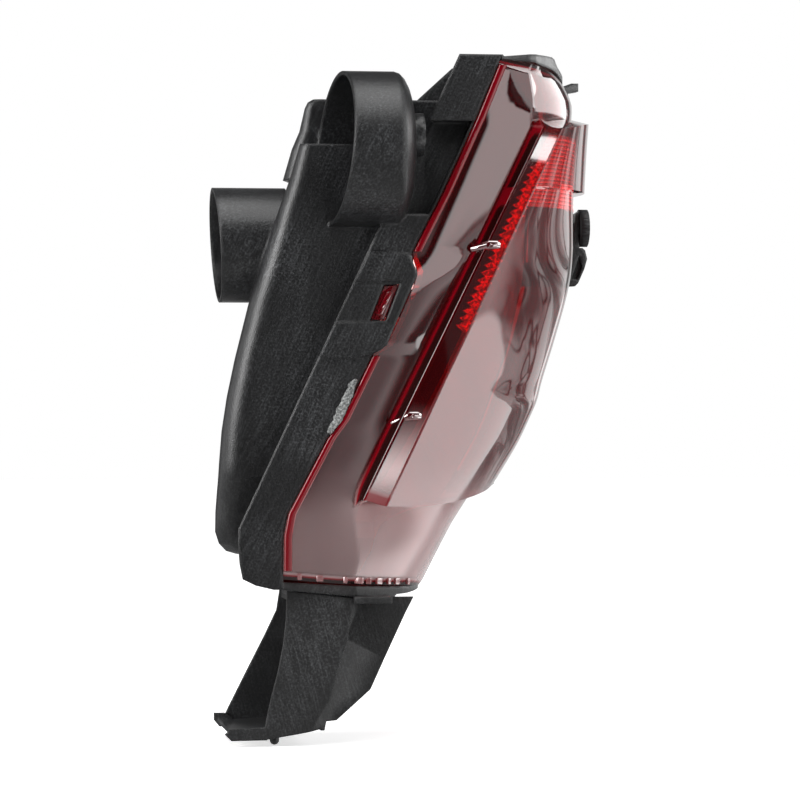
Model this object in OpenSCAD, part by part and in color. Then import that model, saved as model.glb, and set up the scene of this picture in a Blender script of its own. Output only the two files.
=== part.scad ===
// Rear bumper lamp unit with a reflex reflector, for the left or right corner of a car.
// X points from the rear chamber to the lens, Y from the near side to the far side, Z up.
// The origin lies on the axis of the fixing bore, at the end of its boss.

/* [Tray] */
// Height of the tray top above the fixing bore
tray_top = 40; // [38:0.5:44]
// Height of the tray from its top to its floor
lamp_h = 268; // [262:1:276]
// Lean of the tray from the vertical
slant = 25.1; // [24:0.1:26]
// Outer left edge of the tray at the height of the bore
band_left = -1.6; // [-4:0.1:0]
// Near face of the tray
side_y = -10; // [-12:0.5:-8]
// Depth of the tray from its near face to its far face
tray_d = 110; // [106:1:116]
// How far the back wall moves to the right over the depth of the tray
back_shift = 45; // [40:1:50]
// How far the top of the far wall lies below the top of the near wall
far_drop = 16; // [12:1:20]
// Wall of the housing
wall = 2.5; // [2:0.1:3]

/* [Rear chamber] */
// Far face of the rear chamber
chamber_far = 80; // [76:1:84]
// Height of the ledge where the lower chamber ends
ledge_z = -5; // [-7:0.5:-3]
// Near face of the upper chamber
upper_near = 38; // [36:1:44]
// Height of the top of the upper chamber
upper_top = 20.5; // [18:0.5:24]
// How far the left face of the chamber runs in towards its far side
chamber_taper = 7.5; // [4:0.5:9]
// Radius of the long soft edges of the chamber
chamber_r = 11; // [6:0.5:13]

/* [Port] */
// Outer radius of the round port
port_r = 29.3; // [28:0.1:30]
// Height of the port axis
port_z = -54.5; // [-56:0.5:-53]
// Depth of the port axis
port_y = 40; // [38:0.5:42]
// Mouth of the port
port_x = -101; // [-106:0.5:-98]
// Face that the lamp holder seats on
port_seat_x = -68.5; // [-70:0.5:-67]
// Wall of the port
port_wall = 2; // [1.6:0.1:2.4]

/* [Hood] */
// Outer radius of the hood
hood_r = 39; // [37:0.5:41]
// Height of the hood axis
hood_z = -7.5; // [-9:0.5:-6]
// Mouth of the hood
hood_x = -44.5; // [-46:0.5:-42]
// Start of the dome
dome_x = -15.5; // [-17:0.5:-14]
// Outer face of the dome
dome_end = -6; // [-7:0.5:-5]
// Radius of the flat of the dome
dome_flat = 16; // [12:0.5:20]
// Wall of the hood
hood_wall = 2; // [1.6:0.1:2.4]
// Turn of the mouth plane towards the viewer
mouth_turn = 7; // [2:0.5:8]
// Tilt of the mouth plane
mouth_tilt = 4.8; // [2:0.2:6]
// Radius of the boss on the dome
boss_r = 10.7; // [9:0.1:12]

/* [Fixings] */
// Bore of the fixing bush
bush_bore = 3.3; // [3:0.1:3.6]
// Outer radius of the fixing bush
bush_r = 5; // [4.6:0.1:5.6]
// Play between plug-in pieces and their holes
play = 0.3; // [0.2:0.05:0.4]
// Radius of the screw shanks
screw_r = 1.9; // [1.6:0.1:2.2]
// Radius of the screw heads
head_r = 3.6; // [3.2:0.1:4]
// Height of the screw heads
head_h = 2.4; // [2:0.1:3]
// Length of the screw shanks
shank_l = 8; // [6:0.5:9]

/* [Lens] */
// Wall of the lens
lens_wall = 2.5; // [2:0.1:3]
// Near face of the raised block
block_y = -13; // [-14:0.5:-12]
// Depth at which the lens reaches furthest
turn_y = 60; // [56:1:64]
// Depth gained between the rim and the crease of the side face
crease_in = 5; // [3:0.5:6]
// Turn of the face where it leaves the crease or the block
first_turn = 25; // [20:1:30]
// Steps of the curved face
face_steps = 12; // [8:1:16]
// How far the upper pad stands out
pad_out = 6; // [4:0.5:8]
// Height of the lower edge of the pad
pad_z = -27; // [-30:0.5:-24]
// Radius of the bead along the rim
bead_r = 1.4; // [1:0.1:1.8]

/* [Reflex panel] */
// Pitch of the cube corners
cube_pitch = 2.4; // [2:0.1:3]
// Height of the cube corners
cube_h = 1.1; // [0.8:0.1:1.4]
// Lower edge of the panel
panel_bottom = -36; // [-40:0.5:-30]
// Upper edge of the panel
panel_top = -3; // [-6:0.5:-2]
// Pitch of the teeth along the block
tooth_pitch = 3; // [2.5:0.1:4]
// Length of a tooth
tooth_l = 5; // [4:0.2:6]
// Lower end of the toothed edge
teeth_bottom = -98; // [-110:1:-90]

/* [Reflector] */
// Distance of the reflector plate from the back wall
plate_off = 14; // [12:0.5:15]
// Thickness of the reflector plate
plate_t = 2; // [1.6:0.1:2.4]
// Where the bowl would come to its point
bowl_x = -50; // [-53:0.5:-48]
// Focal length of the bowl
bowl_f = 5.15; // [4.9:0.05:5.3]
// Radius of the hole in the bowl for the lamp
bowl_hole = 14; // [13:0.5:15]
// Pitch of the level flutes
flute_pitch = 7; // [5:0.5:9]

/* [Lamps] */
// Radius of the holder body
holder_r = 15.5; // [14:0.5:16]
// Radius of the holder flange
flange_r = 20; // [19:0.5:22]
// Thickness of the holder seal
seal_t = 1.5; // [1.2:0.1:2]
// Radius of the lamp cap
cap_r = 7.5; // [7:0.5:8]
// Radius of the lamp glass
glass_r = 10.5; // [9:0.5:12]
// Height of the lower lamp
tail_z = -160; // [-165:1:-155]
// Place of the lower lamp along the chamber
tail_x = -62; // [-66:1:-58]

/* [Leg] */
// Foot of the leg below the fixing bore
foot_z = -303.5; // [-306:0.5:-298]
// Near face of the leg
leg_y = -2; // [-4:0.5:0]
// Width of the leg from wall to wall
leg_w = 59; // [56:0.5:62]
// Sheet of the leg
leg_t = 2; // [1.6:0.1:2.4]
// Radius of the locating pin
pin_r = 2.4; // [2.2:0.1:2.6]
// Length of the locating pin, from its end into the floor of the leg
pin_l = 9.4; // [8:0.2:10]
// Distance of the locating pin from the near face of the leg
pin_in = 12; // [10:0.5:20]
// Place of the locating pin along the foot
pin_x = -74; // [-77:0.5:-72]

/* [Buffer] */
// Radius of the buffer disc
buffer_r = 10; // [9:0.5:11]
// Thickness of the buffer disc
buffer_t = 4.5; // [4:0.5:5]
// Height of the buffer
buffer_z = -41.5; // [-43:0.5:-40]

/* [Hidden] */
$fn = 48;

// The outlines below run by the share s of the height, 0 at the top of the tray and 1 at its floor,
// and give millimetres to the right of the tray's leaning left edge.
rim_reach = [[0, 22], [0.12, 23.8], [0.26, 24.3], [0.375, 22.9], [0.406, 30.1], [0.431, 31.6],
    [0.545, 32], [0.562, 26.9], [0.685, 26.1],
    [0.72, 23.6], [0.86, 21.4], [0.9, 24.4], [0.97, 33], [1, 37.5]];
edge_reach = [[0, 0], [0.886, 0], [0.913, 3.1], [0.951, 8.7], [0.98, 13.9], [0.992, 22], [1, 32]];
crease_reach = [[0, 36], [0.14, 53.7], [0.8, 50], [0.95, 69.2], [1, 71.5]];
ridge_reach = [[0, 59.9], [1, 54.7]];
face_reach = [[0, 69.9], [1, 68.5]];
base_reach = [[0.015, 60.8], [0.056, 73.4], [0.086, 79.6], [0.25, 93.2], [0.42, 111.8], [0.53, 118.3],
    [0.61, 121.2], [0.71, 123.3], [0.8, 121.5], [0.83, 120.8], [0.89, 117.2], [0.96, 116.1], [1, 115.5]];
block_reach = [[0.1, 83], [0.25, 100.7], [0.42, 120.8], [0.47, 123.4], [0.53, 126.8], [0.61, 130.2],
    [0.66, 132.7], [0.71, 132.8], [0.765, 131.3], [0.8, 130], [0.85, 127.6]];

// Heights along the lens, by the share q of the way round it, 0 at the near rim and 1 where it turns.
bottom_edge = [[0, -219], [0.2, -222], [0.6, -224], [1, -226.5], [1.3, -225]];
top_edge = [[0, 35], [0.2, 32], [0.6, 29], [1, 22], [1.15, 19], [1.3, 17]];
block_bottom = [[0.2, -187], [0.26, -184], [0.34, -187], [0.45, -187.5], [0.8, -181], [1, -174],
    [1.3, -172]];
block_top = [[0.2, 5], [0.26, 8.5], [0.34, 7.5], [0.6, 10], [1, 12], [1.3, 12]];
block_chamfer = [[0.2, 0.3], [0.26, 6.8], [0.34, 6.6], [1, 2.2], [1.3, 2]];
top_lip = [[0, 1.8], [0.2, 5], [0.64, 6], [1, 5], [1.3, 3]];
bottom_lip = [[0, 5], [0.2, 4.5], [0.6, 4], [1, 1], [1.3, 1]];
top_rim_h = [[0, 2], [0.12, 3], [0.3, 4.6], [0.6, 6.6], [0.68, 3.4], [1, 3.4], [1.3, 3.4]];
bottom_rim_h = [[0, 4], [0.2, 5.5], [0.34, 6.5], [0.45, 7.5], [0.5, 4], [1, 1.6], [1.3, 2]];

step = 0.3;
lip_in = 3;
far_y = side_y + tray_d;
far_in = 4;
run = tan(slant);
turn = atan(back_shift * cos(slant) / tray_d);
last_col = face_steps + 6;
block_end_y = turn_y + 24;
base_end_y = turn_y + 30;

function z_at(s) = tray_top - lamp_h * s;
function s_of(z) = (tray_top - z) / lamp_h;
function left_x(z) = band_left + run * z;
function reach(z, outline) = left_x(z) + lookup(s_of(z), outline);

// Way round the lens: column 0 is the rim, 1 the crease, 2 the ridge of the block, 3 its face,
// then the steps of the curved face, and three columns on the far side.
function share(j) = j == 0 ? 0 : j == 1 ? 0.2 : j == 2 ? 0.26
    : j <= face_steps + 3 ? 0.34 + 0.66 * (j - 3) / face_steps
    : 1.1 + 0.1 * (j - face_steps - 4);
function gain_x(a) = (sin(a) - sin(first_turn)) / (1 - sin(first_turn));
function gain_y(a) = (cos(first_turn) - cos(a)) / cos(first_turn);
function base_angle(j) = j == 2 ? first_turn + 5 : first_turn + 11 + (79 - first_turn) * (j - 3) / face_steps;
function block_angle(j) = first_turn + (90 - first_turn) * (j - 3) / face_steps;

function base_point(j, z) =
    let (c = reach(z, crease_reach), m = reach(z, base_reach), y = side_y + crease_in)
    j == 0 ? [reach(z, rim_reach), side_y]
    : j == 1 ? [c, y]
    : j <= face_steps + 3 ? [c + (m - c) * gain_x(base_angle(j)), y + (turn_y - y) * gain_y(base_angle(j))]
    : j == face_steps + 4 ? [m - 1, block_end_y]
    : j == face_steps + 5 ? [m - 2, base_end_y]
    : [m - far_in, far_y];

function block_point(j, z, out) =
    let (f = reach(z, face_reach), m = reach(z, block_reach) + out, y = block_y + 0.5)
    j < 2 || j > face_steps + 4 ? base_point(j, z)
    : j == 2 ? [reach(z, ridge_reach), block_y]
    : j == face_steps + 4 ? [m - 1, block_end_y]
    : [f + (m - f) * gain_x(block_angle(j)), y + (turn_y - y) * gain_y(block_angle(j))];

// Direction into the lens wall at each column
function inward(j) = j == 0 ? [0, 1] : j < 3 ? [0.55, 1] : j == 3 ? [-0.27, 1]
    : j <= face_steps + 3 ? let (a = 30 + 60 * (j - 3) / face_steps) [-sin(a), cos(a)]
    : j < last_col ? [-1, -0.6] : [-1, 0];

// Zones of the lens from the floor up: bottom lip, body, block, pad, crown and top lip
LENS_ROWS = concat(
    [[0, 0]],
    [for (i = [0 : 5]) [1, i / 5]],
    [for (t = [0, 0.05, 0.1, 0.15, 0.212, 0.271, 0.31, 0.35, 0.4, 0.44, 0.481, 0.506, 0.55, 0.6, 0.65, 0.697, 0.739,
        0.79, 0.83, 0.87, 0.91, 0.95, 1]) [2, t]],
    [for (i = [0 : 4]) [3, i / 4]],
    [for (i = [0 : 4]) [4, i / 4]],
    [[5, 0]]);

function mix(a, b, t) = a + (b - a) * t;

function lens_z(j, zone, t, w) =
    let (q = share(j), low = lookup(q, bottom_edge), high = lookup(q, top_edge),
        foot = lookup(q, block_bottom) + w, head = lookup(q, block_top) - w)
    zone == 0 ? low - lookup(q, bottom_lip)
    : zone == 1 ? mix(low, foot, t)
    : zone == 2 ? mix(foot + step, pad_z + w, t)
    : zone == 3 ? mix(pad_z + w + step, head - lookup(q, block_chamfer), t)
    : zone == 4 ? mix(head, high, t)
    : high + lookup(q, top_lip);

function lens_point(j, row, w) =
    let (zone = row[0], q = share(j), z = lens_z(j, zone, row[1], w),
        flat_z = zone == 0 ? lookup(q, bottom_edge) : zone == 5 ? lookup(q, top_edge) : z,
        p = zone == 2 ? block_point(j, z, 0) : zone == 3 ? block_point(j, z, pad_out) : base_point(j, flat_z),
        in = w + ((zone == 0 || zone == 5) && j < last_col - 1 ? lip_in : 0))
    [p[0] + inward(j)[0] * in, p[1] + inward(j)[1] * in, z];

// Closed sheet between two grids of points with the same rows and columns
module sheet(outer, inner) {
    rows = len(outer);
    cols = len(outer[0]);
    all = concat([for (r = outer) for (p = r) p], [for (r = inner) for (p = r) p]);
    half = rows * cols;
    skin = [for (i = [0 : rows - 2]) for (j = [0 : cols - 2])
        let (a = i * cols + j, b = a + cols, c = b + 1, d = a + 1)
        for (f = [[a, b, c], [a, c, d], [half + a, half + c, half + b], [half + a, half + d, half + c]]) f];
    sides = [for (i = [0 : rows - 2]) for (e = [0, 1])
        let (a = i * cols + e * (cols - 1), b = a + cols)
        for (f = e == 0 ? [[half + a, half + b, b], [half + a, b, a]] : [[a, b, half + b], [a, half + b, half + a]]) f];
    ends = [for (j = [0 : cols - 2]) for (e = [0, 1])
        let (a = e * (rows - 1) * cols + j, b = a + 1)
        for (f = e == 0 ? [[a, b, half + b], [a, half + b, half + a]] : [[a, half + a, half + b], [a, half + b, b]]) f];
    polyhedron(points = all, faces = concat(skin, sides, ends), convexity = 8);
}

// Solid between two outlines of as many points, one at each depth
module prism_between(near, near_y, far, far_y) {
    n = len(near);
    polyhedron(
        points = concat([for (p = near) [p[0], near_y, p[1]]], [for (p = far) [p[0], far_y, p[1]]]),
        faces = concat(
            [[for (i = [n - 1 : -1 : 0]) i]],
            [[for (i = [0 : n - 1]) n + i]],
            [for (i = [0 : n - 1]) for (f = [[i, (i + 1) % n, n + (i + 1) % n], [i, n + (i + 1) % n, n + i]]) f]),
        convexity = 6);
}

// Upright plate of outline points in X and Z, from depth y over the thickness t
module plate(points, y, t) {
    translate([0, y + t, 0]) rotate([90, 0, 0]) linear_extrude(t) polygon(points);
}

// Frame of the leaning back wall: x away from it, y along it to the far side, z up along the lean
module on_back() {
    translate([band_left, side_y, 0]) rotate([0, slant, 0]) rotate([0, 0, -turn]) children();
}

TRAY_STATIONS = [0, 0.12, 0.26, 0.38, 0.56, 0.685, 0.72, 0.86, 0.886, 0.9, 0.913, 0.951, 0.97, 0.98,
    0.992, 1];

function tray_outline(near) =
    let (top = near ? tray_top : tray_top - far_drop)
    concat(
        [for (s = TRAY_STATIONS) let (z = min(z_at(s), top))
            [left_x(z) + lookup(s, edge_reach) + (near ? 0 : back_shift), z]],
        [for (i = [len(TRAY_STATIONS) - 1 : -1 : 0]) let (s = TRAY_STATIONS[i], z = min(z_at(s), top))
            [near ? reach(z, rim_reach) : reach(z, base_reach) - far_in - lens_wall - play, z]]);

function tray_hollow(near) =
    let (top = (near ? tray_top : tray_top - far_drop) - wall, low = z_at(1) + wall)
    concat(
        [for (s = TRAY_STATIONS) let (z = max(min(z_at(s), top), low))
            [left_x(z) + lookup(s, edge_reach) + wall / cos(slant) + (near ? 0 : back_shift), z]],
        [[left_x(low) + 2 * tray_d, low], [left_x(top) + 2 * tray_d, top]]);

module tray_outer() {
    prism_between(tray_outline(true), side_y, tray_outline(false), far_y);
}

module tray_inner() {
    prism_between(tray_hollow(true), side_y + wall, tray_hollow(false), far_y - wall);
}

// Left face of the rear chamber, by height
chamber_left = [[-211.5, -92], [-210, -97], [-206, -101], [-200, -103], [-190, -103], [-165, -101.8],
    [-149, -100.6], [-132, -98], [-113, -94], [-85, -87], [-62, -79.8], [-37, -71.6], [-21, -66], [-5, -61.5],
    [4, -57.7], [16, -55], [19, -53.5], [20.5, -51]];
// Near face of the lower chamber, by height
chamber_near = [[-211.5, 20], [-208, 14], [-200, 11], [-185, 8], [-172, 2], [-160, 0], [-5, 0]];
// Soft edge of the chamber, by height
chamber_edge = [[-211.5, 8], [-200, 10], [-170, chamber_r], [-60, chamber_r], [-5, 6], [20.5, 4]];

CHAMBER_LEVELS = [-211.5, -210, -206, -200, -190, -180, -172, -165, -149, -132, -113, -85, -62, -37, -21, -5];
UPPER_LEVELS = [-21, -5, 4, 16, 19, 20.5];

function chamber_ring(z, near, w) =
    let (x = lookup(z, chamber_left) + w, e = lookup(z, chamber_edge) - w * 0.8, far = chamber_far - w,
        right = left_x(z) + back_shift + 2)
    concat(
        [[right, near + w]],
        [for (a = [90 : -15 : 0]) [x + e - e * cos(a), near + w + e - e * sin(a)]],
        [for (a = [0 : 30 : 90]) [x + chamber_taper + e - e * cos(a), far - e + e * sin(a)]],
        [[right, far]]);

// Solid that runs through rings of as many points, given anticlockwise as seen from its far end
module swept(rings) {
    n = len(rings[0]);
    m = len(rings);
    polyhedron(
        points = [for (r = rings) for (p = r) p],
        faces = concat(
            [[for (i = [n - 1 : -1 : 0]) i]],
            [[for (i = [0 : n - 1]) (m - 1) * n + i]],
            [for (k = [0 : m - 2]) for (i = [0 : n - 1])
                let (a = k * n + i, b = k * n + (i + 1) % n)
                for (f = [[a, b, b + n], [a, b + n, a + n]]) f]),
        convexity = 6);
}

module ring_stack(levels, rings) {
    swept([for (i = [0 : len(levels) - 1]) [for (p = rings[i]) [p[0], p[1], levels[i]]]]);
}

module lower_chamber(w) {
    levels = [for (z = CHAMBER_LEVELS) z == CHAMBER_LEVELS[0] ? z + w : z == ledge_z ? z - w : z];
    ring_stack(levels, [for (z = CHAMBER_LEVELS) chamber_ring(z, lookup(z, chamber_near), w)]);
}

module upper_chamber(w) {
    levels = [for (z = UPPER_LEVELS) z == UPPER_LEVELS[5] ? upper_top - w : z];
    ring_stack(levels, [for (z = UPPER_LEVELS) chamber_ring(z, upper_near, w)]);
}

// Section of the hood along its axis
function hood_section(r, w) = concat(
    [[0, dome_end - w], [dome_flat - w, dome_end - w]],
    [for (a = [15 : 15 : 90])
        [dome_flat - w + (r - dome_flat) * sin(a), dome_x + (dome_end - w - dome_x) * cos(a)]],
    [[r - w, hood_x - 20], [0, hood_x - 20]]);

module hood_shell() {
    difference() {
        translate([0, 0, hood_z]) rotate([0, 90, 0]) rotate([0, 0, 90])
            rotate_extrude(angle = 271, $fn = 96) difference() {
                polygon(hood_section(hood_r, 0));
                polygon(hood_section(hood_r, hood_wall));
            }
        translate([hood_x, 0, hood_z]) rotate([0, mouth_tilt, 0]) rotate([0, 0, mouth_turn])
            translate([-80, -60, -60]) cube([80, 120, 120]);
    }
    translate([dome_end - hood_wall, 0, 0]) rotate([0, 90, 0])
        cylinder(r = boss_r, h = -dome_end + hood_wall);
}

module port_tube() {
    translate([port_x - 4, port_y, port_z]) rotate([0, 90, 0])
        cylinder(r = port_r, h = port_seat_x + wall - port_x + 4, $fn = 72);
}

module port_hollow() {
    translate([port_x - 6, port_y, port_z]) rotate([0, 90, 0])
        cylinder(r = port_r - port_wall, h = port_seat_x - port_x + 6, $fn = 72);
    translate([port_seat_x - 1, port_y, port_z]) rotate([0, 90, 0])
        cylinder(r = holder_r + play, h = wall + 2);
    translate([port_x, port_y, port_z]) rotate([0, -3.8, 0]) translate([-30, -60, -60]) cube([30, 120, 120]);
}

// Recess in the side of the tray beside the boss
pocket_top = 6.6;
pocket_bottom = -40.5;
pocket_land = 1.4;

function pocket_outline(grow, right) = [
    [left_x(pocket_top) - 30, pocket_top + grow], [reach(pocket_top, rim_reach) + right, pocket_top + grow],
    [reach(pocket_bottom, rim_reach) + right, pocket_bottom - grow],
    [left_x(pocket_bottom) - 30, pocket_bottom - grow]];

// Straight edge of the near wall along the lens
module rim_cut() {
    corners = [for (r = rim_reach) [reach(z_at(r[0]), rim_reach) - play, z_at(r[0])]];
    plate(concat(corners, [[corners[len(corners) - 1][0], z_at(1) - 5], [120, z_at(1) - 5],
        [120, tray_top - wall - 0.3],
        [corners[0][0], tray_top - wall - 0.3]]), side_y - 1, wall + 1 + play);
}

module pocket_box() {
    intersection() {
        plate(pocket_outline(wall, 3), side_y, wall - side_y);
        prism_between(tray_outline(true), side_y, tray_outline(true), wall);
    }
}

// Raised pad around the latch, with its window
latch_pad = [[-28, -59], [-8.5, -60.5], [-4.9, -68.8], [-4.4, -71], [-6.4, -75.5], [-16.3, -97.5],
    [-19.8, -106], [-22.9, -108.5], [-29.9, -111.1], [-40, -113], [-53.5, -111], [-46, -95], [-36, -73.7]];
latch_window = [[-21.3, -76.1], [-13.3, -75.6], [-20.3, -93.8], [-28.4, -94]];
latch_dip = [[-60, -95], [-27, -94.4], [-13, -75.3], [-13, -74.2], [-50, -73.7]];
latch_h = 2;

module latch_land() {
    difference() {
        plate(latch_pad, side_y - latch_h, latch_h + 0.5);
        plate(latch_dip, side_y - latch_h - 1, 2);
    }
}

// Convex link between two four-cornered sections
module link(a, b) {
    hull() swept([a, b]);
}

// Strip along the edge of the lens, from column to column, as tall as the given table says
module edge_strip(zone, table, sign, depth) {
    cols = [for (j = [0 : last_col]) j];
    base = [for (j = cols) lens_point(j, [zone, 0], 0)];
    grown = [for (j = cols) let (q = share(j), p = base[j], d = inward(j), h = lookup(q, table) * sign)
        [for (c = [[-0.4, 0], [-0.4, h], [depth, h], [depth, 0]])
            [p[0] + c[0] * d[0], p[1] + c[0] * d[1], p[2] + play * sign + c[1]]]];
    for (j = [0 : last_col - 1]) link(grown[j], grown[j + 1]);
}

// Deck between the straight edge of the tray and the curved edge of the lens
module edge_deck(zone, sign) {
    near = [reach(sign > 0 ? tray_top : z_at(1), rim_reach) - 3, sign > 0 ? tray_top : z_at(1)];
    far_z = sign > 0 ? tray_top - far_drop : z_at(1);
    far = [reach(far_z, base_reach) - far_in - 3, far_z];
    lip = [for (j = [0 : last_col]) let (p = lens_point(j, [zone, 0], 0), d = inward(j))
        [p[0] + 5 * d[0], p[1] + 5 * d[1] + play, p[2] + sign * 0.6]];
    edge = [for (p = lip) let (t = min(1, max(0, (p[1] - side_y) / tray_d)))
        [mix(near[0], far[0], t), p[1], mix(near[1], far[1], t) - sign * (wall - 0.6)]];
    rings = [for (j = [0 : last_col]) [for (c = [[0, 0], [0, 1.6], [1, 1.3], [1, 0]])
        let (p = c[0] == 0 ? lip[j] : edge[j]) [p[0], p[1], p[2] + sign * c[1]]]];
    swept(sign > 0 ? rings : [for (r = rings) [r[3], r[2], r[1], r[0]]]);
}

// Small tab at the far end of the top rim
module top_tab() {
    hull() {
        translate([81, 62, 26.8]) cube([3, 8, 3]);
        translate([88.4, 66, 28.4]) cube([3.8, 7, 4.2]);
    }
}

gusset = [[2, 18.5], [6.5, 23], [24, 39], [left_x(37) + 28, 30], [left_x(19) + 28, 18.5]];
near_ear = [[92, -72.7], [97, -72.7], [98.7, -71], [102, -63.6], [103.6, -58], [102.5, -53.5], [101, -52.2],
    [99.4, -52.2], [99.4, -32.5], [97.4, -34], [96, -45], [93.5, -52], [91, -60], [48, -60], [48, -72.7]];
low_ear = [[4, -171], [54.9, -171], [53, -178], [49, -181.5], [4, -181.5]];

ear_d = 9.6;
ear_y = far_y + play;

module ears() {
    difference() {
        plate(near_ear, ear_y, ear_d);
        plate([[95, -69], [99.5, -56], [101, -62], [98.5, -69]], ear_y - 1, 4);
        translate([90, ear_y + ear_d / 2, buffer_z]) rotate([0, 90, 0]) cylinder(r = 3, h = 14, $fn = 24);
    }
    plate([[48, -72.7], [66, -72.7], [66, -60], [48, -60]], far_y - wall, wall + 1);
    plate(low_ear, ear_y, wall);
    plate([[4, -171], [24, -171], [24, -181.5], [4, -181.5]], far_y - wall, wall + 1);
}

// Posts that the reflector is screwed to, in the frame of the back wall: along it and up the lean
POSTS = [[26, 26], [26, z_at(1) + 48], [tray_d - 2, 20], [tray_d - 2, z_at(1) + 38]];
post_r = 3.6;

module housing() {
    color([0.12, 0.12, 0.13]) {
        difference() {
            union() {
                difference() {
                    union() {
                        tray_outer();
                        lower_chamber(0);
                        upper_chamber(0);
                    }
                    difference() {
                        union() {
                            tray_inner();
                            lower_chamber(wall);
                            upper_chamber(wall);
                        }
                        port_tube();
                        pocket_box();
                    }
                    plate(pocket_outline(0, -pocket_land), side_y - 5, 5 - side_y);
                    rim_cut();
                }
                port_tube();
                hood_shell();
                edge_deck(5, 1);
                edge_deck(0, -1);
                top_tab();
                latch_land();
                plate(gusset, 58, wall);
                edge_strip(5, top_rim_h, 1, 6);
                edge_strip(0, bottom_rim_h, -1, 6);
                ears();
                leg_seat();
                vent_nipple();
                on_back() for (p = POSTS) {
                    translate([1, p[0], p[1]]) rotate([0, 90, 0])
                        cylinder(r = post_r, h = plate_off - 1, $fn = 24);
                    if (p[0] < 50) translate([1, p[0] - 14, p[1] - 1.5]) cube([plate_off - 4, 14, 3]);
                }
            }
            port_hollow();
            plate(latch_window, side_y - 6, 10);
            translate([dome_end - hood_wall - 4, 0, 0]) rotate([0, 90, 0])
                cylinder(r = bush_r, h = 4 + hood_wall - dome_end);
            tail_port();
            vent_hole();
            leg_screw_holes();
            on_back() for (p = POSTS) translate([wall + 1, p[0], p[1]]) rotate([0, 90, 0])
                cylinder(r = screw_r, h = 20, $fn = 24);
        }
    }
}

module tail_port() {
    translate([tail_x, chamber_far - wall - 1, tail_z]) rotate([-90, 0, 0])
        cylinder(r = holder_r + play, h = wall + 2);
}

vent_x = -60;
vent_z = -110;
vent_r = 4;

module vent_nipple() {
    translate([vent_x, chamber_far - 1, vent_z]) rotate([-90, 0, 0]) cylinder(r = vent_r, h = 8, $fn = 32);
}

module vent_hole() {
    translate([vent_x, chamber_far - wall - 1, vent_z]) rotate([-90, 0, 0])
        cylinder(r = vent_r - 1.5, h = 20, $fn = 32);
}

// Seat of the leg under the tray
seat_top = z_at(1) + 1;
seat_z = seat_top - 5.5;
seat_w = 33;
SEAT_SCREWS = [[-58, 10], [-43, 27], [-58, 44]];

module leg_seat() {
    translate([-66, leg_y + leg_t, seat_z]) cube([seat_w, leg_w - 6, seat_top - seat_z]);
}

module leg_screw_holes() {
    for (p = SEAT_SCREWS) translate([p[0], p[1], seat_z - 1]) cylinder(r = screw_r, h = 6, $fn = 24);
}

module lens() {
    color([0.55, 0.02, 0.04, 0.6]) {
        sheet(
            [for (row = LENS_ROWS) [for (j = [0 : last_col]) lens_point(j, row, 0)]],
            [for (row = LENS_ROWS) [for (j = [0 : last_col]) lens_point(j, row, lens_wall)]]);
        rim_bead();
        lens_lug([22.5, -57.5], [34.5, -56]);
        lens_lug([-17, -146.5], [-5.5, -141]);
        latch_tab();
    }
}

BEAD_RUNS = [[0.02, 0.12, 0.26, 0.37], [0.566, 0.685, 0.72, 0.86, 0.9, 0.965]];

module rim_bead() {
    for (r = BEAD_RUNS) for (i = [0 : len(r) - 2]) hull() {
        for (s = [r[i], r[i + 1]])
            translate([reach(z_at(s), rim_reach) + bead_r + 0.1, side_y - 0.8, z_at(s)]) rotate([-90, 0, 0])
                cylinder(r = bead_r, h = 3, $fn = 12);
    }
}

module lens_lug(from, to) {
    hull() {
        translate([from[0], side_y + crease_in - 3, from[1]]) rotate([-90, 0, 0])
            cylinder(r = 1.3, h = 3, $fn = 24);
        translate([to[0] - 4, block_y - 1.6, to[1]]) rotate([-90, 0, 0]) cylinder(r = 1.3, h = 2.4, $fn = 24);
        translate([to[0], block_y - 1.2, to[1]]) rotate([-90, 0, 0]) cylinder(r = 1.3, h = 2, $fn = 24);
    }
}

tab_play = 0.4;

module latch_tab() {
    c = [for (k = [0, 1]) (latch_window[0][k] + latch_window[2][k]) / 2];
    small = [for (p = latch_window)
        [p[0] + (p[0] > c[0] ? -tab_play : tab_play), p[1] + (p[1] > c[1] ? -tab_play : tab_play)]];
    plate(small, side_y - 1.2, 6);
    plate([[-24, -92], [-17, -78], [-6, -78], [-10, -92]], side_y + wall + play, 2);
    plate([[-14, -92], [-10, -78], [-6, -78], [-10, -92]], side_y + 1, 3);
}

// Curved panel of cube corners behind the upper part of the lens, with its toothed edge
PANEL_COLS = 16;
panel_gap = lens_wall + 0.6;
panel_t = 2;

function panel_point(t, z, d) =
    let (a = first_turn + 2 + (86 - first_turn) * t, f = reach(z, face_reach), m = reach(z, block_reach),
        y = block_y + 0.5, b = 30 + 60 * t)
    [f + (m - f) * gain_x(a) - d * sin(b), y + (turn_y - y) * gain_y(a) + d * cos(b), z];

module reflex_reflector() {
    rows = round((panel_top - panel_bottom) / cube_pitch);
    color([0.85, 0.05, 0.05]) {
        sheet(
            [for (i = [0 : 2 * rows]) [for (j = [0 : 2 * PANEL_COLS])
                panel_point(j / (2 * PANEL_COLS), mix(panel_bottom, panel_top, i / (2 * rows)), panel_gap)]],
            [for (i = [0 : 2 * rows]) [for (j = [0 : 2 * PANEL_COLS])
                panel_point(j / (2 * PANEL_COLS), mix(panel_bottom, panel_top, i / (2 * rows)),
                    panel_gap + panel_t + (i % 2 == 1 && j % 2 == 1 ? cube_h : 0))]]);
        toothed_edge();
    }
}

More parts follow.
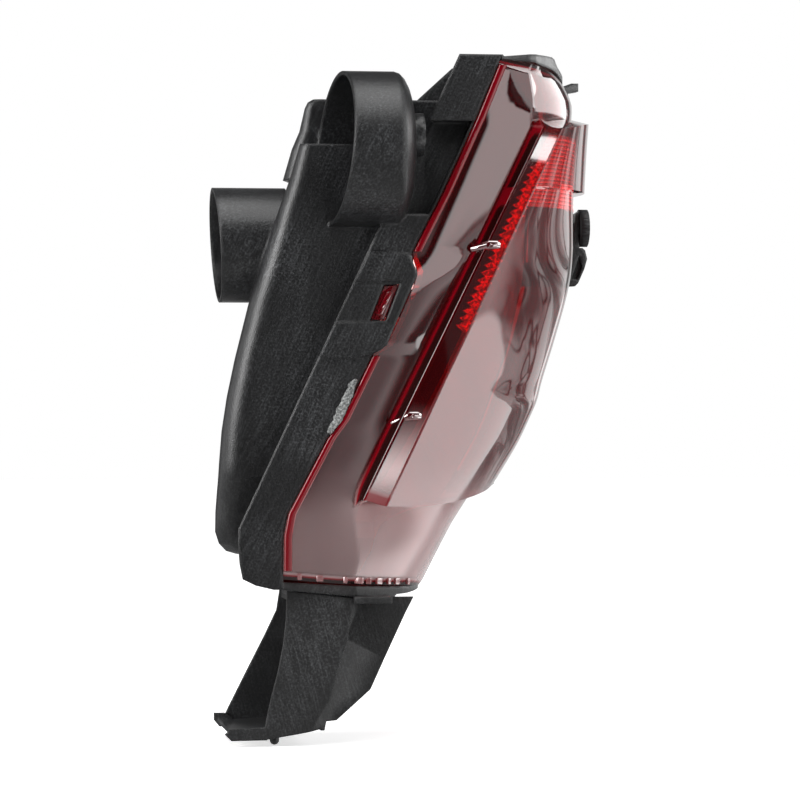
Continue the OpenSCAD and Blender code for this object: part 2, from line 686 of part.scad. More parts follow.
module toothed_edge() {
    y = block_y + panel_gap + 0.6;
    n = floor((-12 - teeth_bottom) / tooth_pitch);
    for (i = [0 : n]) let (z = teeth_bottom + i * tooth_pitch, x = reach(z, face_reach)) hull() {
        translate([x - 1.8 - tooth_l, y + 0.9, z]) cube([0.2, 1.2, 0.2], center = true);
        for (k = [-0.52, 0.52]) translate([x - 1.8 + run * k * tooth_pitch, y + 0.9, z + k * tooth_pitch])
            cube([3, 2.4, 0.2], center = true);
    }
}

// Aluminised reflector: the plate along the back wall, the bowl and the fluted wing on the far side
plate_y0 = 19.5;
plate_y1 = tray_d + 6;
plate_z0 = z_at(1) + 16;
plate_z1 = tray_top + 4;
wing_y = far_y - wall - 2.5;
window = [[34, -186], [96, -186], [96, -128], [34, -128]];

function bowl_at(x) = sqrt(4 * bowl_f * (x - bowl_x));

module bowl_form(grow) {
    x0 = bowl_x + bowl_hole * bowl_hole / (4 * bowl_f);
    reachx = 92;
    translate([0, port_y, port_z]) rotate([0, 90, 0]) rotate_extrude($fn = 96) polygon(concat(
        [[0, x0 - (grow > 0 ? 0 : 2)], [bowl_hole + grow, x0 - (grow > 0 ? 0 : 2)]],
        [for (i = [0 : 8]) let (x = x0 + (bowl_x + reachx - x0) * pow(i / 8, 1.6)) [bowl_at(x) + grow, x]],
        [[0, bowl_x + reachx]]));
}

module wing_outline(grow) {
    polygon(concat(
        [for (s = [0.14 : 0.06 : 0.92]) let (z = z_at(s)) [left_x(z) + back_shift + 18, z]],
        [for (s = [0.92 : -0.06 : 0.14]) let (z = z_at(s)) [reach(z, base_reach) - far_in - 5, z]]));
}

module reflector() {
    color([0.8, 0.8, 0.82]) {
        difference() {
            union() {
                on_back() translate([plate_off, plate_y0, plate_z0])
                    cube([plate_t, plate_y1 - plate_y0, plate_z1 - plate_z0]);
                intersection() {
                    bowl_form(1.8);
                    on_back() translate([plate_off - 100, -60, -200]) cube([100.5, 260, 300]);
                    translate([-100, -50, -150]) cube([200, chamber_far - wall - 0.5 + 50, 250]);
                }
            }
            bowl_form(0);
            on_back() translate([plate_off - 1, 0, 0]) rotate([90, 0, 90])
                linear_extrude(plate_t + 2) polygon(window);
            on_back() for (p = POSTS) translate([plate_off - 1, p[0], p[1]]) rotate([0, 90, 0])
                cylinder(r = screw_r + 0.2, h = plate_t + 2);
        }
        translate([0, wing_y + 2, 0]) rotate([90, 0, 0]) linear_extrude(2) wing_outline(0);
        flutes();
    }
}

module flutes() {
    n = floor(70 / flute_pitch);
    for (i = [0 : n - 1]) let (z = z_at(1) + 48 + i * flute_pitch) plate(
        [[left_x(z) + back_shift + 22, z], [reach(z, base_reach) - far_in - 8, z],
            [reach(z + flute_pitch, base_reach) - far_in - 8, z + flute_pitch * 0.55],
            [left_x(z + flute_pitch) + back_shift + 22, z + flute_pitch * 0.55]], wing_y - 1.5, 1.6);
}

// Black mask behind the side face, from the rim of the housing to the block
MASK_NEAR = [0.05, 0.12, 0.26, 0.375, 0.406, 0.431, 0.545, 0.562, 0.685, 0.72, 0.86, 0.9, 0.94];
mask_far = [[-184, 56], [-178, 62], [-150, 66], [-120, 68], [-2, 67], [2, 52]];

module trim_mask() {
    mask_y = side_y + 8.5;
    rib_y = block_y + panel_gap + 2.7;
    near = [for (s = MASK_NEAR) [reach(z_at(s), rim_reach) + 4, z_at(s)]];
    low = [for (s = [0.94, 0.9, 0.87]) [reach(z_at(s), crease_reach) - 1, z_at(s)]];
    high = [for (s = [0.12, 0.05]) [reach(z_at(s), crease_reach) - 1, z_at(s)]];
    color([0.03, 0.03, 0.03]) {
        plate(concat(near, low, [for (p = mask_far) [left_x(p[0]) + p[1], p[0]]], high), mask_y, 1.6);
        for (z = [-92, -62, -32]) plate([for (p = [[z, 65.6], [z, 67.6], [z + 6, 67.6], [z + 6, 65.6]])
            [left_x(p[0]) + p[1], p[0]]], rib_y, mask_y - rib_y + 1);
    }
}

module reflector_screws() {
    color([0.7, 0.7, 0.72]) on_back() for (p = POSTS) translate([plate_off + plate_t, p[0], p[1]])
        rotate([0, 90, 0]) {
            cylinder(r = head_r, h = head_h);
            translate([0, 0, -shank_l]) cylinder(r = screw_r - 0.1, h = shank_l + 0.5);
        }
}

module sealant_bead() {
    color([0.45, 0.45, 0.45]) {
        for (run_s = [[0.03, 0.104], [0.322, 0.37], [0.56, 0.685], [0.69, 0.72, 0.86], [0.9, 0.955]])
            for (i = [0 : len(run_s) - 2]) hull() for (s = [run_s[i], run_s[i + 1]])
                translate([reach(z_at(s), rim_reach) - 0.5, side_y + lens_wall + play + 0.15, z_at(s)])
                    rotate([-90, 0, 0]) cylinder(r = 1.8, h = 1.4, $fn = 12);
        for (i = [0 : 5]) let (z = z_at(0.612) - i * 4, x = reach(z, rim_reach)) hull() {
            for (p = [[-2.4, 0, 1.2], [-4.2 - (i % 2), -4, 1], [-5.4 + (i % 3) * 0.5, -2, 0.9]])
                translate([x + p[0], side_y, z + p[1]]) rotate([90, 0, 0])
                    cylinder(r1 = p[2], r2 = p[2] * 0.6, h = p[2], $fn = 12);
        }
    }
}

module fixing_bush() {
    color([0.75, 0.75, 0.76]) translate([dome_end - hood_wall, 0, 0]) rotate([0, 90, 0]) difference() {
        cylinder(r = bush_r, h = hood_wall - dome_end);
        translate([0, 0, -1]) cylinder(r = bush_bore, h = hood_wall - dome_end + 2);
    }
}

module ear_buffer() {
    color([0.05, 0.05, 0.05]) translate([99.6 + 0.1, ear_y + ear_d / 2, buffer_z]) rotate([0, 90, 0]) {
        cylinder(r = buffer_r, h = buffer_t);
        translate([0, 0, -4]) cylinder(r = 2.8, h = 5);
    }
}

module vent_cap() {
    color([0.05, 0.05, 0.05]) translate([vent_x, chamber_far, vent_z]) rotate([-90, 0, 0]) difference() {
        cylinder(r = vent_r + 2.2, h = 11);
        translate([0, 0, -1]) cylinder(r = vent_r + 0.05, h = 9.2);
        translate([0, 0, 7]) cylinder(r = 1.2, h = 6, $fn = 24);
    }
}

module vent_membrane() {
    color([0.9, 0.9, 0.88]) translate([vent_x, chamber_far + 7, vent_z]) rotate([-90, 0, 0])
        cylinder(r = vent_r, h = 0.6);
}

// Lamp set along +Z: the flange stands on z = 0 outside, the lamp points to +Z
module holder_solid() {
    difference() {
        union() {
            translate([0, 0, -seal_t - 3]) cylinder(r = flange_r, h = 3);
            translate([0, 0, -seal_t - 3]) cylinder(r = holder_r, h = seal_t + 3 + 10);
            translate([0, 0, -seal_t - 20]) cylinder(r = 11, h = 18);
            for (a = [0, 120, 240]) rotate([0, 0, a]) translate([holder_r - 1, -3, wall + 0.3]) cube([3.2, 6, 3]);
        }
        translate([0, 0, 3]) cylinder(r = cap_r + play, h = 20);
        translate([-8, -5, -seal_t - 21]) cube([16, 10, 16]);
    }
}

module seal_ring() {
    translate([0, 0, -seal_t]) difference() {
        cylinder(r = flange_r - 1, h = seal_t);
        translate([0, 0, -1]) cylinder(r = holder_r + 0.1, h = seal_t + 2);
    }
}

module contact_set() {
    for (x = [-4, 0, 4]) translate([x - 0.4, -1.4, -seal_t - 17]) cube([0.8, 2.8, 12]);
}

module cap_solid() {
    translate([0, 0, 3.2]) cylinder(r = cap_r, h = 15);
    translate([0, 0, 12]) rotate([0, 90, 0]) cylinder(r = 0.9, h = 2 * cap_r + 2.4, center = true);
}

module glass_solid() {
    translate([0, 0, 18.2]) cylinder(r1 = cap_r - 1, r2 = glass_r - 1.6, h = 7.5);
    translate([0, 0, 29]) sphere(r = glass_r);
}

module at_fog() {
    translate([port_seat_x, port_y, port_z]) rotate([0, 90, 0]) children();
}

module at_tail() {
    translate([tail_x, chamber_far, tail_z]) rotate([90, 0, 0]) children();
}

module fog_bulb_glass() { color([0.9, 0.9, 0.95, 0.5]) at_fog() glass_solid(); }
module fog_bulb_cap() { color([0.75, 0.7, 0.5]) at_fog() cap_solid(); }
module fog_bulb_holder() { color([0.2, 0.2, 0.2]) at_fog() holder_solid(); }
module fog_holder_seal() { color([0.1, 0.1, 0.1]) at_fog() seal_ring(); }
module fog_contacts() { color([0.8, 0.65, 0.3]) at_fog() contact_set(); }
module tail_bulb_glass() { color([0.9, 0.9, 0.95, 0.5]) at_tail() glass_solid(); }
module tail_bulb_cap() { color([0.75, 0.7, 0.5]) at_tail() cap_solid(); }
module tail_bulb_holder() { color([0.2, 0.2, 0.2]) at_tail() holder_solid(); }
module tail_holder_seal() { color([0.1, 0.1, 0.1]) at_tail() seal_ring(); }
module tail_contacts() { color([0.8, 0.65, 0.3]) at_tail() contact_set(); }

pin_top = -297.5;
pin_groove = 2.1;

// Leg below the tray: near wall, far wall, fold plate, side panel, floor, hooks and pin
near_wall_pts = [[-68.9, -229], [-69.4, -244], [-70.9, -256.5], [-73.5, -269.5], [-76.5, -281], [-79.5, -294.4],
    [-80.5, foot_z], [-70.9, foot_z + 1.5], [-63.4, -300.8], [-57.4, -299.7], [-51.8, -298.2], [-51.1, -294.2],
    [-48.8, -282.7], [-45.8, -270.3], [-40.2, -253.8], [-36.4, -237.5], [-34.5, -232.9]];
far_wall_pts = [[-65.9, -227], [-68.2, -241.8], [-74.7, -255.4], [-84, -273.6], [-93.8, -293.1], [-97, -301],
    [-51.8, -298.2], [-51.1, -294.2], [-48.8, -282.7], [-45.8, -270.3], [-40.2, -253.8], [-36.4, -237.5],
    [-34.5, -227]];
fold_pts = [[-36.4, -233], [-38.4, -240], [-40.2, -253.8], [-45.8, -270.3], [-48.8, -282.7], [-51.1, -294.2],
    [-52, -299]];
panel_pts = [[-38, -233.4], [-31, -235.5], [-16, -235.5], [-14.4, -232.8], [-3.5, -232.8], [-7.6, -240.7],
    [-18.4, -263.9], [-25.5, -279.5], [-42.8, -294.9], [-50.5, -295.6], [-47.5, -282], [-44.5, -270],
    [-39.5, -253]];

module bracket() {
    color([0.12, 0.12, 0.13]) {
        difference() {
            union() {
                leg_wall(near_wall_pts, leg_y);
                leg_wall(far_wall_pts, leg_y + leg_w - leg_t);
                plate(concat(fold_pts,
                    [for (i = [len(fold_pts) - 1 : -1 : 0]) [fold_pts[i][0] + leg_t, fold_pts[i][1]]]),
                    leg_y, leg_w);
                plate(panel_pts, 8, leg_t);
                translate([-66, leg_y + leg_t, seat_z - 2.5]) cube([seat_w, leg_w - 6, 2.5]);
                plate([[-98, -298], [-60, -296], [-51.9, -296], [-51.9, -298.1], [-60, -298.1], [-98, -300]],
                    leg_y, leg_w);
                foot_hooks();
            }
            for (p = SEAT_SCREWS) translate([p[0], p[1], seat_z - 4]) cylinder(r = screw_r + 0.2, h = 6);
        }
        translate([pin_x, leg_y + pin_in, pin_top - pin_l]) locating_pin();
    }
}

// Pin with a round end and a relief groove under the floor of the leg
module locating_pin() {
    translate([0, 0, pin_r]) {
        sphere(r = pin_r);
        cylinder(r = pin_r, h = pin_l - pin_r - pin_groove);
        cylinder(r = pin_r - 0.4, h = pin_l - pin_r);
    }
}

module leg_wall(points, y) {
    intersection() {
        plate(points, y, leg_t);
        translate([-150, y - 1, -330]) cube([200, leg_t + 2, 330 + z_at(1) - play]);
    }
}

module foot_hooks() {
    plate([[-99.8, -300.8], [-96.8, -303.8], [-78.8, -303.6], [-78.8, -299], [-97.8, -299]], leg_y, 4);
    plate([[-100.5, -294.5], [-100.5, -298.1], [-97.9, -301.3], [-90, -301.3], [-90, -298], [-95, -294.5]],
        leg_y + leg_w - 4, 4);
}

module bracket_screws() {
    color([0.7, 0.7, 0.72]) for (p = SEAT_SCREWS) translate([p[0], p[1], seat_z - 2.5]) {
        translate([0, 0, -head_h]) cylinder(r = head_r, h = head_h);
        translate([0, 0, -0.5]) cylinder(r = screw_r - 0.1, h = 6);
    }
}

housing();
lens();
reflex_reflector();
reflector();
trim_mask();
sealant_bead();
bracket();
bracket_screws();
reflector_screws();
fixing_bush();
ear_buffer();
vent_cap();
vent_membrane();
fog_bulb_glass();
fog_bulb_cap();
fog_bulb_holder();
fog_holder_seal();
fog_contacts();
tail_bulb_glass();
tail_bulb_cap();
tail_bulb_holder();
tail_holder_seal();
tail_contacts();
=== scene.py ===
"""Looks of a car's rear corner lamp: black housing, clear red lens, reflex panel, aluminised reflector and leg.

Sizes are millimetres in the part's own frame unless a name says otherwise; meshes are handed over in metres.
"""

import logging
import math
from collections.abc import Callable, Iterable, Mapping, Sequence
from dataclasses import dataclass, field
from enum import Enum

import bmesh
import bpy
from mathutils import Matrix, Vector, noise


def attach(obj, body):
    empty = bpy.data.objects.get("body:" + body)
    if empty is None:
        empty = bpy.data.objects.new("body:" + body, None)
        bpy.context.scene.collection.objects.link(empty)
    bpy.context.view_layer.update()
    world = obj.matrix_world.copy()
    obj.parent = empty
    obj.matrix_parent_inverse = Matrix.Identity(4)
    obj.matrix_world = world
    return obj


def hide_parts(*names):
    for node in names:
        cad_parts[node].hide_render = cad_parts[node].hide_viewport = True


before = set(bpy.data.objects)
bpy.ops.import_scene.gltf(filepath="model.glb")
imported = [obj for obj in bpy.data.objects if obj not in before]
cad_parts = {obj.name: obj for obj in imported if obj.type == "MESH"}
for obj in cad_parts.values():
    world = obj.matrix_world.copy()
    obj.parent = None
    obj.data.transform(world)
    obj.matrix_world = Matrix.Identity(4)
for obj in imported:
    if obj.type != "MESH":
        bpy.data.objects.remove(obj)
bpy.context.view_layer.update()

LOG = logging.getLogger("rear_lamp")
MM = 0.001
Colour = tuple[float, float, float]


class Wire:
    """A shader socket that takes part in Python expressions."""

    def __init__(self, graph: "Graph", socket: bpy.types.NodeSocket) -> None:
        """Keeps the graph and the socket."""
        self.graph = graph
        self.socket = socket

    def _math(self, operation: str, first: object, second: object) -> "Wire":
        """Adds one Math node."""
        return self.graph.node("Math", {"operation": operation}, {0: first, 1: second})

    def __add__(self, other: object) -> "Wire":
        """Sum."""
        return self._math("ADD", self, other)

    def __sub__(self, other: object) -> "Wire":
        """Difference."""
        return self._math("SUBTRACT", self, other)

    def __rsub__(self, other: object) -> "Wire":
        """Difference with the wire on the right."""
        return self._math("SUBTRACT", other, self)

    def __mul__(self, other: object) -> "Wire":
        """Product."""
        return self._math("MULTIPLY", self, other)

    def __truediv__(self, other: object) -> "Wire":
        """Quotient."""
        return self._math("DIVIDE", self, other)

    def __pow__(self, other: object) -> "Wire":
        """Power."""
        return self._math("POWER", self, other)

    __radd__ = __add__
    __rmul__ = __mul__

    def fraction(self) -> "Wire":
        """What is left of a number after its whole part."""
        return self._math("FRACT", self, 0.0)

    def size(self) -> "Wire":
        """The number without its sign."""
        return self._math("ABSOLUTE", self, 0.0)

    def pair(self) -> tuple["Wire", "Wire"]:
        """The first two numbers of a vector."""
        split = self.graph.node("SeparateXYZ", {}, {0: self}).socket.node
        return Wire(self.graph, split.outputs[0]), Wire(self.graph, split.outputs[1])

    def at_most(self, other: object) -> "Wire":
        """The lesser of two."""
        return self._math("MINIMUM", self, other)

    def at_least(self, other: object) -> "Wire":
        """The greater of two."""
        return self._math("MAXIMUM", self, other)

    def ramp(self, low: float, high: float) -> "Wire":
        """Runs smoothly from 0 at low to 1 at high.

        Args:
            low: value that gives 0.
            high: value that gives 1.

        Returns:
            The smoothed share.
        """
        settings = {"interpolation_type": "SMOOTHSTEP"}
        return self.graph.node("MapRange", settings, {"Value": self, "From Min": low, "From Max": high})


class Graph:
    """The node tree of one material or of the world."""

    def __init__(self, owner: bpy.types.Material | bpy.types.World) -> None:
        """Clears the owner's tree."""
        owner.use_nodes = True
        self.tree = owner.node_tree
        self.tree.nodes.clear()

    def node(
        self,
        kind: str,
        settings: Mapping[str, object] | None = None,
        inputs: Mapping[str | int, object] | None = None,
        output: str | int = 0,
    ) -> Wire:
        """Adds a node.

        Args:
            kind: type of the node without its ShaderNode prefix.
            settings: properties that are set first; stops fills a colour ramp.
            inputs: values or wires by the name or number of their socket.
            output: name or number of the socket that comes back.

        Returns:
            The output socket as a wire.
        """
        made = self.tree.nodes.new("ShaderNode" + kind)
        for name, value in (settings or {}).items():
            if name == "stops":
                self._fill_ramp(made.color_ramp, value)
            else:
                setattr(made, name, value)
        for name, value in (inputs or {}).items():
            socket = made.inputs[name]
            if isinstance(value, Wire):
                self.tree.links.new(value.socket, socket)
            elif isinstance(value, tuple) and len(value) == 3 and socket.type == "RGBA":
                socket.default_value = (*value, 1.0)
            else:
                socket.default_value = value
        return Wire(self, made.outputs[output] if made.outputs else made.inputs[0])

    @staticmethod
    def _fill_ramp(ramp: bpy.types.ColorRamp, stops: Sequence[tuple[float, Colour]]) -> None:
        """Sets the stops of a colour ramp."""
        while len(ramp.elements) < len(stops):
            ramp.elements.new(1.0)
        for element, (place, colour) in zip(ramp.elements, stops):
            element.position = place
            element.color = (*colour, 1.0)

    def blend(self, factor: object, first: object, second: object) -> Wire:
        """Mixes two colours by a share."""
        return self.node("Mix", {"data_type": "RGBA"}, {0: factor, 6: first, 7: second}, 2)

    def place(self, scale: tuple[float, float, float] = (1, 1, 1), turn_y: float = 0.0) -> Wire:
        """Object coordinates, turned about Y and scaled.

        Args:
            scale: stretch of the pattern's space along its own axes.
            turn_y: turn in degrees before the stretch.

        Returns:
            The coordinates.
        """
        here = self.node("TexCoord", output="Object")
        turned = self.node("Mapping", {}, {"Vector": here, "Rotation": (0, math.radians(turn_y), 0)})
        return self.node("Mapping", {}, {"Vector": turned, "Scale": scale})

    def speckle(self, size_mm: float, detail: float = 3.0, where: Wire | None = None, warp: float = 0.0) -> Wire:
        """Noise from 0 to 1.

        Args:
            size_mm: size of its patches.
            detail: octaves.
            where: coordinates, the object's own by default.
            warp: how much it is distorted.

        Returns:
            The noise as a number.
        """
        inputs = {
            "Vector": where or self.node("TexCoord", output="Object"),
            "Scale": 1000.0 / size_mm,
            "Detail": detail,
            "Distortion": warp,
        }
        return self.node("TexNoise", {}, inputs, "Fac")

    def soft_edges(self, radius_mm: float) -> Wire:
        """Normals that round the moulding's edges."""
        return self.node("Bevel", {"samples": 4}, {"Radius": radius_mm * MM})

    def bump(self, height: Wire, depth_mm: float, base: Wire | None = None) -> Wire:
        """Normals of a height pattern.

        Args:
            height: pattern from 0 to 1.
            depth_mm: its real depth.
            base: normals under it.

        Returns:
            The bumped normals.
        """
        inputs = {"Height": height, "Distance": depth_mm * MM, "Strength": 1.0}
        if base is not None:
            inputs["Normal"] = base
        return self.node("Bump", {}, inputs)

    def principled(self, inputs: Mapping[str, object]) -> Wire:
        """A Principled shader with these sockets."""
        return self.node("BsdfPrincipled", {}, inputs)

    def mix_shader(self, factor: object, first: Wire, second: Wire) -> Wire:
        """Mixes two shaders by a share."""
        return self.node("MixShader", {}, {0: factor, 1: first, 2: second})

    def finish(self, surface: Wire) -> None:
        """Ends the tree with its output."""
        self.node("OutputMaterial", {}, {"Surface": surface})


def new_material(name: str, dress: Callable[[Graph], None]) -> bpy.types.Material:
    """Makes a material.

    Args:
        name: its name.
        dress: fills its node tree.

    Returns:
        The material.
    """
    made = bpy.data.materials.new(name)
    dress(Graph(made))
    return made


@dataclass(frozen=True)
class MouldedBlack:
    """Black moulded plastic with a fine grain, grey scuffs and brushed streaks."""

    name: str
    tone: Colour = (0.0058, 0.0058, 0.0062)
    scuffed: Colour = (0.055, 0.057, 0.060)
    scuffs: float = 1.5
    streak_turn: float = 0.0
    edge_mm: float = 2.2
    roughness: float = 0.34

    def material(self) -> bpy.types.Material:
        """Makes the material."""
        return new_material(self.name, self._dress)

    def _dress(self, g: Graph) -> None:
        """Fills the tree: patches and streaks set the tone and the gloss, the grain sets the bump."""
        patches = g.speckle(38.0, 4.0).ramp(0.38, 0.70)
        flecks = g.speckle(1.1, 6.0).ramp(0.40, 0.88)
        brushed = g.place((1.0, 1.0, 0.05), self.streak_turn)
        streaks = g.speckle(0.9, 5.0, brushed).ramp(0.42, 0.74)
        worn = ((patches * 0.75 + 0.25) * (flecks * 0.7 + streaks * 0.3) * self.scuffs).at_most(1.0)
        grain = g.speckle(0.8, 4.0)
        edges = g.soft_edges(self.edge_mm)
        normal = g.bump(grain + streaks * 0.1, 0.14, edges)
        shader = g.principled({
            "Base Color": g.blend(worn, self.tone, self.scuffed),
            "Roughness": self.roughness + flecks * 0.06 - patches * 0.03,
            "Specular IOR Level": 0.5,
            "Normal": normal,
        })
        g.finish(shader)


@dataclass(frozen=True)
class ClearRed:
    """Clear red moulded lens: tinted see-through body under a mirror-smooth skin, deep red where it is thick.

    About satin_below (metres) the skin turns satin and hazy, as in the photograph; the haze is a pale colour mixed in
    more towards grazing angles, a painted sheen.
    """

    name: str
    thin: Colour = (0.50, 0.04, 0.04)
    thick: Colour = (0.16, 0.0, 0.003)
    body: Colour = (0.15, 0.0, 0.004)
    # Pale colour of the satin zone: a painted sheen.
    haze_and_sheen: Colour = (0.66, 0.48, 0.48)
    skin: float = 0.10
    satin_below: float = -0.187

    def material(self) -> bpy.types.Material:
        """Makes the material."""
        return new_material(self.name, self._dress)

    def _dress(self, g: Graph) -> None:
        """Fills the tree. The attribute thick says where the line of sight runs along the wall."""
        thick = g.node("Attribute", {"attribute_name": "thick"}, {}, "Fac")
        facing = g.node("LayerWeight", {}, {"Blend": 0.5}, "Facing")
        path = (facing ** 3.0 * 0.8 + thick).at_most(1.0)
        clear_thin = g.node("BsdfTransparent", {}, {"Color": self.thin})
        clear_thick = g.node("BsdfTransparent", {}, {"Color": self.thick})
        clear = g.mix_shader(path, clear_thin, clear_thick)
        up = g.node("SeparateXYZ", {}, {0: g.node("TexCoord", output="Object")}, 2)
        satin = up.ramp(self.satin_below + 0.027, self.satin_below - 0.011)
        deep = g.blend(thick.ramp(1.0, 1.6), self.body, (0.01, 0.0, 0.0))
        # Below satin_below the body turns the pale haze colour: painted sheen.
        body = g.principled({
            "Base Color": g.blend(satin * (1.0 - thick.at_most(1.0)), deep, self.haze_and_sheen),
            "Roughness": 0.25,
            "Specular IOR Level": 0.2,
        })
        # Towards grazing angles the satin zone shows more of the pale body: painted sheen.
        inside = g.mix_shader((thick * 0.72 + satin * facing * 0.45 + 0.10).at_most(0.9), clear, body)
        ripple = g.bump(g.speckle(60.0, 1.0), 0.10)
        skin = g.principled({
            "Base Color": (1.0, 0.985, 0.98),
            "Metallic": 1.0,
            "Roughness": satin * 0.24 + 0.02,
            "Normal": ripple,
        })
        mirror = (facing ** 4.2 * (0.92 - self.skin) + self.skin) * (1.0 - thick.at_most(1.0) * 0.6)
        seen = g.mix_shader(mirror, inside, skin)
        lamp_ray = g.node("LightPath", output="Is Shadow Ray")
        passing = g.node("BsdfTransparent", {}, {"Color": (0.80, 0.25, 0.23)})
        g.finish(g.mix_shader(lamp_ray, seen, passing))


@dataclass(frozen=True)
class ReflexRed:
    """Red reflex plastic: pale glints of its cube corners on red, from the piece's UV map in cells, painted into the
    colour as highlights, with a painted glow from its emission.
    """

    name: str
    deep: Colour = (0.30, 0.0, 0.002)
    # Colour of the painted glints of the cube corners.
    glint: Colour = (1.0, 0.85, 0.80)
    # Strength of the emission: a painted glow, as the plastic is no lamp.
    glow: float = 3.6
    cells: bool = True

    def material(self) -> bpy.types.Material:
        """Makes the material."""
        return new_material(self.name, self._dress)

    def _dress(self, g: Graph) -> None:
        """Fills the tree: the colour carries painted glints and also glows, a painted glow."""
        if self.cells:
            across, down = g.node("TexCoord", output="UV").pair()
            row = (down.fraction() - 0.5).size()
            column = (across.fraction() - 0.5).size()
            painted_glint_cells = row.ramp(0.40, 0.16) * (column.ramp(0.50, 0.30) * 0.6 + 0.4)
            mask = painted_glint_cells * (0.55 + g.speckle(9.0, 2.0) * 0.7)
        else:
            # The teeth get bright red speckles instead of cells: painted glints.
            mask = g.speckle(1.6, 3.0).ramp(0.40, 0.64)
        colour = g.blend(mask.at_most(1.0), self.deep, self.glint if self.cells else (0.95, 0.01, 0.01))
        # The colour with its painted glints is also emitted: painted glow.
        g.finish(g.principled({
            "Base Color": colour,
            "Roughness": 0.16,
            "Emission Color": colour,
            "Emission Strength": self.glow,
        }))


@dataclass(frozen=True)
class Aluminised:
    """Vacuum-metallised plastic whose thin skin waves, so that its reflections run and crumple."""

    name: str
    tone: Colour = (0.80, 0.79, 0.80)
    wave_mm: float = 22.0
    depth_mm: float = 1.6
    roughness: float = 0.09
    metallic: float = 1.0

    def material(self) -> bpy.types.Material:
        """Makes the material."""
        return new_material(self.name, self._dress)

    def _dress(self, g: Graph) -> None:
        """Fills the tree."""
        folds = g.speckle(self.wave_mm, 2.0, g.place((1.0, 1.0, 0.42), 24.0), 1.4)
        peel = g.speckle(2.2, 2.0)
        haze_and_sheen = g.speckle(7.0, 3.0).ramp(0.5, 0.8)
        g.finish(g.principled({
            "Base Color": g.blend(haze_and_sheen * 0.4, self.tone, (0.62, 0.56, 0.56)),
            "Metallic": self.metallic,
            "Roughness": self.roughness + haze_and_sheen * 0.10,
            "Normal": g.bump(folds + peel * 0.01, self.depth_mm),
        }))


@dataclass(frozen=True)
class Compound:
    """Grey sealing compound with a torn, grainy skin."""

    name: str
    low: Colour = (0.07, 0.073, 0.072)
    high: Colour = (0.30, 0.31, 0.305)

    def material(self) -> bpy.types.Material:
        """Makes the material."""
        return new_material(self.name, self._dress)

    def _dress(self, g: Graph) -> None:
        """Fills the tree."""
        crumbs = g.speckle(1.1, 5.0).ramp(0.35, 0.7)
        lumps = g.speckle(3.6, 2.0)
        g.finish(g.principled({
            "Base Color": g.blend(crumbs, self.low, self.high),
            "Roughness": 0.8,
            "Normal": g.bump(crumbs * 0.6 + lumps, 0.5),
        }))


@dataclass(frozen=True)
class Plain:
    """A finish of one tone with a slight mottle, grain and roughness of its own."""

    name: str
    tone: Colour
    shade: float = 0.75
    patch_mm: float = 3.0
    roughness: float = 0.5
    metallic: float = 0.0
    grain_mm: float = 0.02
    opacity: float = 1.0
    stretch: tuple[float, float, float] = (1.0, 1.0, 1.0)

    def material(self) -> bpy.types.Material:
        """Makes the material."""
        return new_material(self.name, self._dress)

    def _dress(self, g: Graph) -> None:
        """Fills the tree."""
        mottle = g.speckle(self.patch_mm, 4.0, g.place(self.stretch))
        darker = tuple(self.shade * c for c in self.tone)
        shader = g.principled({
            "Base Color": g.blend(mottle.ramp(0.3, 0.7), darker, self.tone),
            "Roughness": self.roughness + mottle * 0.12 - 0.06,
            "Metallic": self.metallic,
            "Normal": g.bump(mottle, self.grain_mm),
        })
        if self.opacity < 1.0:
            clear = g.node("BsdfTransparent", {}, {"Color": (0.96, 0.97, 0.98)})
            shader = g.mix_shader(self.opacity, clear, shader)
        g.finish(shader)


class Finish(Enum):
    """Every finish of the lamp, by the record's slot."""

    HOUSING = MouldedBlack("black_moulding", streak_turn=-25.0)
    BRACKET = MouldedBlack("black_leg", scuffs=1.3, streak_turn=14.0, edge_mm=1.2, roughness=0.52)
    LENS = ClearRed("clear_red_lens")
    LUGS = ClearRed("clear_red_lug", skin=0.4)
    # The reflex finishes carry painted glints and glow by their emission: painted light.
    REFLEX = ReflexRed("reflex_red")
    TEETH = ReflexRed("reflex_teeth", deep=(0.20, 0.0, 0.002), glow=3.4, cells=False)
    ALUMINISED = Aluminised("aluminised_skin", roughness=0.15, metallic=0.92)
    WAVED = Aluminised("waved_skin", tone=(0.95, 0.9, 0.9), wave_mm=30.0, depth_mm=7.0, roughness=0.3, metallic=0.2)
    MASK = Plain("mask_black", (0.004, 0.004, 0.004), roughness=0.6)
    SEALANT = Compound("sealing_compound")
    SCREWS = Plain("zinc_plate", (0.62, 0.62, 0.60), roughness=0.32, metallic=1.0)
    STEEL = Plain("turned_steel", (0.60, 0.60, 0.61), roughness=0.28, metallic=1.0, stretch=(0.1, 1.0, 1.0))
    BUFFER = Plain("buffer_rubber", (0.016, 0.016, 0.017), roughness=0.55, grain_mm=0.05, patch_mm=1.4)
    SEALS = Plain("seal_rubber", (0.02, 0.02, 0.021), roughness=0.6, grain_mm=0.04)
    MEMBRANE = Plain("white_film", (0.78, 0.78, 0.76), roughness=0.7, patch_mm=0.6)
    BULB_GLASS = Plain("bulb_glass", (0.85, 0.87, 0.9), roughness=0.03, opacity=0.22, grain_mm=0.0)
    BULB_CAP = Plain("plated_cap", (0.68, 0.64, 0.55), roughness=0.3, metallic=1.0)
    HOLDERS = Plain("holder_grey", (0.05, 0.05, 0.053), roughness=0.5, patch_mm=1.2, grain_mm=0.04)
    CONTACTS = Plain("contact_brass", (0.75, 0.58, 0.28), roughness=0.3, metallic=1.0)


